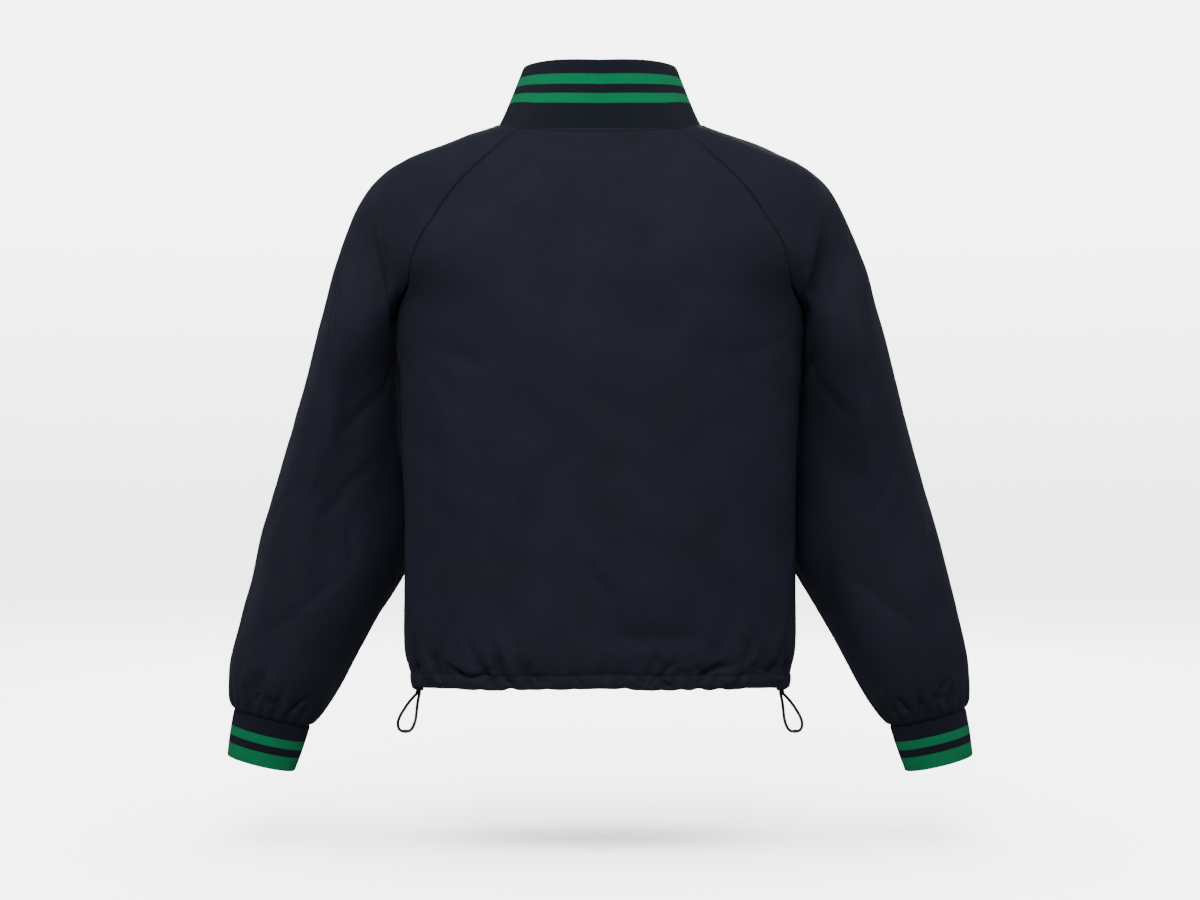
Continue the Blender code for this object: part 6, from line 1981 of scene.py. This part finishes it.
@dataclass
class HemCord:
    """One side's end of the hem cord: its lock, the loop below it and the crimp bead."""

    side: Side
    lock_half: tuple[float, float, float] = (0.0067, 0.0033, 0.0024)
    lock_at: tuple[float, float, float] = (0.1990, 0.0010, -0.6108)
    lock_tilt: float = -13.0
    eyelets: tuple[tuple[float, float], ...] = ((0.0007, -0.0022), (-0.0022, -0.0021))
    eyelet_radius: float = 0.00125
    eyelet_wire: float = 0.00034
    bead_radius: float = 0.0022
    spacing: float = 0.0030
    cord: float = 0.0034

    def route(self) -> Grid:
        """The cord's middle line from the lock round the loop and back, as a smooth curve.

        A Catmull-Rom curve runs through the strands' points and 3 mm up into the lock.

        Returns:
            The points at an even spacing.
        """
        flat = np.array([(0.1994, -0.6114), *OUTER_STRAND, *INNER_STRAND, (0.1968, -0.6120)])
        ends = np.concatenate([[2 * flat[0] - flat[1]], flat, [2 * flat[-1] - flat[-2]]])
        t = np.linspace(0.0, 1.0, 12, endpoint=False)[:, None]
        a, b, c, d = (ends[k : len(ends) - 3 + k, None] for k in range(4))
        swing = (2 * a - 5 * b + 4 * c - d) * t**2 + (3 * b - a - 3 * c + d) * t**3
        line = np.concatenate([(0.5 * (2 * b + (c - a) * t + swing)).reshape(-1, 2), flat[-1:]])
        length = run_length(line)
        wanted = np.linspace(0.0, length[-1], int(length[-1] / self.spacing) + 1)
        x, z = along_line(wanted, length, line).T
        return stacked(self.side.sign * x, CORD_Y, z)

    def loop(self, braid: Material) -> bpy.types.Object:
        """The cord: a curve of one open spline with a round section.

        Args:
            braid: its finish.

        Returns:
            The curve object.
        """
        route = self.route()
        curve = bpy.data.curves.new(f"hem_loop_{self.side.value}", "CURVE")
        curve.dimensions = "3D"
        curve.bevel_depth = self.cord / 2
        curve.bevel_resolution = 4
        curve.use_fill_caps = True
        spline = curve.splines.new("POLY")
        spline.points.add(len(route) - 1)
        spline.points.foreach_set("co", np.concatenate([route, np.ones((len(route), 1))], axis=1).ravel())
        curve.materials.append(braid)
        piece = placed(curve.name, curve)
        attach(piece, BODY_NAME)
        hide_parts(f"cord_outer_{self.side.value}", f"cord_inner_{self.side.value}")
        LOG.info("%s: %.1f mm of cord", piece.name, 1000 * run_length(route)[-1])
        return piece

    def lock(self, plastic: Material) -> None:
        """The lock: an ellipsoid of stacked rings, with a parting groove and two cord eyelets.

        Args:
            plastic: its finish.
        """
        share = np.sin(np.linspace(-math.pi / 2, math.pi / 2, 26))
        radius = (1.0 - np.abs(share) ** 2.6 + 0.012) ** (1 / 2.2)
        parting = 0.10 * bell(share - 0.30, 0.05)
        radius *= 1.0 - parting - 0.05 * bell(share + 0.62, 0.05)
        line = stacked(share * self.lock_half[0], 0.0, 0.0)
        body = tube(line, radius * self.lock_half[2], 22, 1.35)
        turn = np.linspace(0.0, math.tau, 21)
        parts = [body]
        for x, z in self.eyelets:
            ring = stacked(x + self.eyelet_radius * np.cos(turn), self.eyelet_radius * np.sin(turn), z)
            parts.append(tube(ring, self.eyelet_wire, 8))
        angle = math.radians(self.lock_tilt)
        sine, cosine = math.sin(angle), math.cos(angle)
        axes = np.array([[cosine, 0, -sine], [0, 1, 0], [sine, 0, cosine]])
        patch = row_of(joined(parts), np.array([self.lock_at]), axes[None])
        patch = (patch[0] * self.side.mirror, *patch[1:])
        piece = make_piece(f"hem_lock_{self.side.value}", patch, plastic, self.side.out, merge=MERGE)
        dressed(piece, "lock_plastic", f"cord_lock_{self.side.value}")

    def bead(self, plastic: Material) -> bpy.types.Object:
        """The crimp bead: a barrel between the strands' ends, pinched at two places.

        Args:
            plastic: its finish.

        Returns:
            The bead.
        """
        ends = np.array([OUTER_STRAND[-1], INNER_STRAND[0]])
        ends = stacked(self.side.sign * ends[:, 0], CORD_Y, ends[:, 1])
        reach = ends[1] - ends[0]
        share = np.linspace(0.0, 1.0, 25)[:, None]
        path = ends[0] + reach * (0.06 + 0.88 * share)
        across = 2 * share[:, 0] - 1
        pinch = 0.16 * bell(np.abs(across) - 0.42, 0.13)
        patch = tube(path, self.bead_radius * ((1.0 - np.abs(across) ** 5 * 0.32) * (1.0 - pinch)), 20)
        piece = make_piece(f"hem_bead_{self.side.value}", patch, plastic, (0.0, 1.0, 0.0), merge=MERGE)
        return dressed(piece, "lock_plastic", f"cord_bead_{self.side.value}")

    def build(self, braid: Material, plastic: Material) -> None:
        """Args:
            braid: the cord's finish.
            plastic: the lock's and bead's finish.
        """
        loop = self.loop(braid)
        bead = self.bead(plastic)
        self.lock(plastic)
        route = self.route()
        float(run_length(route)[-1])


# The area lights: name, place, width and height, watts.
LAMPS = (
    ("key_behind", (0.3, 2.6, 1.5), (1.3, 1.3), 68.0),
    ("key_front", (-0.2, -2.6, 0.5), (1.5, 1.5), 42.0),
    ("overhead", (0.0, 0.5, 2.4), (1.6, 1.6), 11.0),
    ("left_fill", (2.4, 0.5, 0.3), (1.4, 2.0), 7.0),
    ("right_fill", (-2.4, 0.5, 0.3), (1.4, 2.0), 7.0),
)


@dataclass
class Studio:
    """The camera, the soft lights and the seamless paper round the garment."""

    camera_distance: float = 2.6
    camera_height: float = -0.351
    lens: float = 71.4
    floor_height: float = -0.7745
    floor_radius: float = 4.6
    wall_height: float = 5.2
    bend: float = 1.3
    shadow_power: float = 16.7
    shadow_softness: float = 80.0
    air: tuple[float, float, float] = (0.9, 0.92, 0.95)
    air_strength: float = 0.24

    def camera(self) -> None:
        """A level camera behind the garment, looking along -Y."""
        data = bpy.data.cameras.new("photo_camera")
        data.lens = self.lens
        camera = placed("photo_camera", data)
        camera.location = (0.0, self.camera_distance, self.camera_height)
        camera.rotation_euler = (math.radians(90.0), 0.0, math.radians(180.0))
        bpy.context.scene.camera = camera

    def paper(self) -> None:
        """The floor and wall: a line out from the middle, round a bend and up, turned about Z."""
        turn = np.linspace(0.0, math.pi / 2, 14)
        out = self.floor_radius + self.bend * np.sin(turn)
        low = stacked(out, self.bend * (1 - np.cos(turn)))
        flat = [[0.0, 0.0], [self.floor_radius / 2, 0.0]]
        line = np.concatenate([flat, low, [[low[-1, 0], self.wall_height]]])
        angle = np.linspace(0.0, math.tau, 97)
        ways = stacked(np.cos(angle), np.sin(angle))
        height = np.repeat(line[:, None, 1:] + self.floor_height, len(angle), axis=1)
        points = np.concatenate([line[:, None, :1] * ways[None], height], axis=-1)
        finish = StudioPaper(self.floor_height, self.bend).material()
        paper = make_piece("studio_floor", grid_patch(points, points[..., :2]), finish, merge=MERGE)
        paper.visible_diffuse = False
        paper.visible_glossy = False
        self.shadow_light(paper)

    def shadow_light(self, paper: bpy.types.Object) -> None:
        """A broad light from straight above that only the paper receives, for the soft shadow.

        Args:
            paper: the floor and wall.
        """
        only = bpy.data.collections.new("paper_only")
        only.objects.link(paper)
        data = bpy.data.lights.new("paper_overhead", "SUN")
        data.energy = self.shadow_power
        data.angle = math.radians(self.shadow_softness)
        placed("paper_overhead", data).light_linking.receiver_collection = only

    def light(self, name: str, place: Sequence[float], size: tuple[float, float], power: float) -> None:
        """A rectangular area light that faces the garment's middle.

        Args:
            name: its name.
            place: where it hangs.
            size: its width and height.
            power: in watts.
        """
        data = bpy.data.lights.new(name, "AREA")
        data.shape = "RECTANGLE"
        data.size, data.size_y = size
        data.energy = power
        lamp = placed(name, data)
        lamp.location = place
        toward = Vector((0.0, 0.0, self.camera_height)) - Vector(place)
        lamp.rotation_euler = toward.to_track_quat("-Z", "Y").to_euler()

    def build(self) -> None:
        """Makes the lights and the paper. The camera is made first, on its own."""
        world = bpy.data.worlds.new("studio_air")
        world.use_nodes = True
        world.node_tree.nodes["Background"].inputs["Color"].default_value = rgba(*self.air)
        world.node_tree.nodes["Background"].inputs["Strength"].default_value = self.air_strength
        bpy.context.scene.world = world
        for lamp in LAMPS:
            self.light(*lamp)
        self.paper()


def main() -> None:
    """Builds the cords first, then the shell, the ribs and the zip."""
    logging.basicConfig(level=logging.INFO, format="%(message)s")
    studio = Studio()
    studio.camera()
    plastic = Moulded("lock_plastic", (0.0180, 0.0194, 0.0180), 0.42).material()
    braid = Braid().material()
    for side in Side:
        HemCord(side).build(braid, plastic)
    cloth, stitch = ShellCloth().material(), Topstitch(Thread().material())
    BodyShell().build(cloth, stitch)
    for side in Side:
        RaglanSleeve(side).build(cloth, stitch)
    collar = RibCollar()
    collar.build(RibKnit("rib_collar_knit", collar.length, COLLAR_STRIPES).material())
    cuff_knit = RibKnit("rib_cuff_knit", RibCuff.length, CUFF_STRIPES).material()
    for side in Side:
        RibCuff(side=side).build(cuff_knit)
    fittings = Moulded("zip_moulded", (0.0115, 0.0130, 0.0190), 0.34).material()
    QuarterZip().build(collar, TapeWeave().material(), fittings)
    studio.build()


if __name__ == "__main__":
    main()
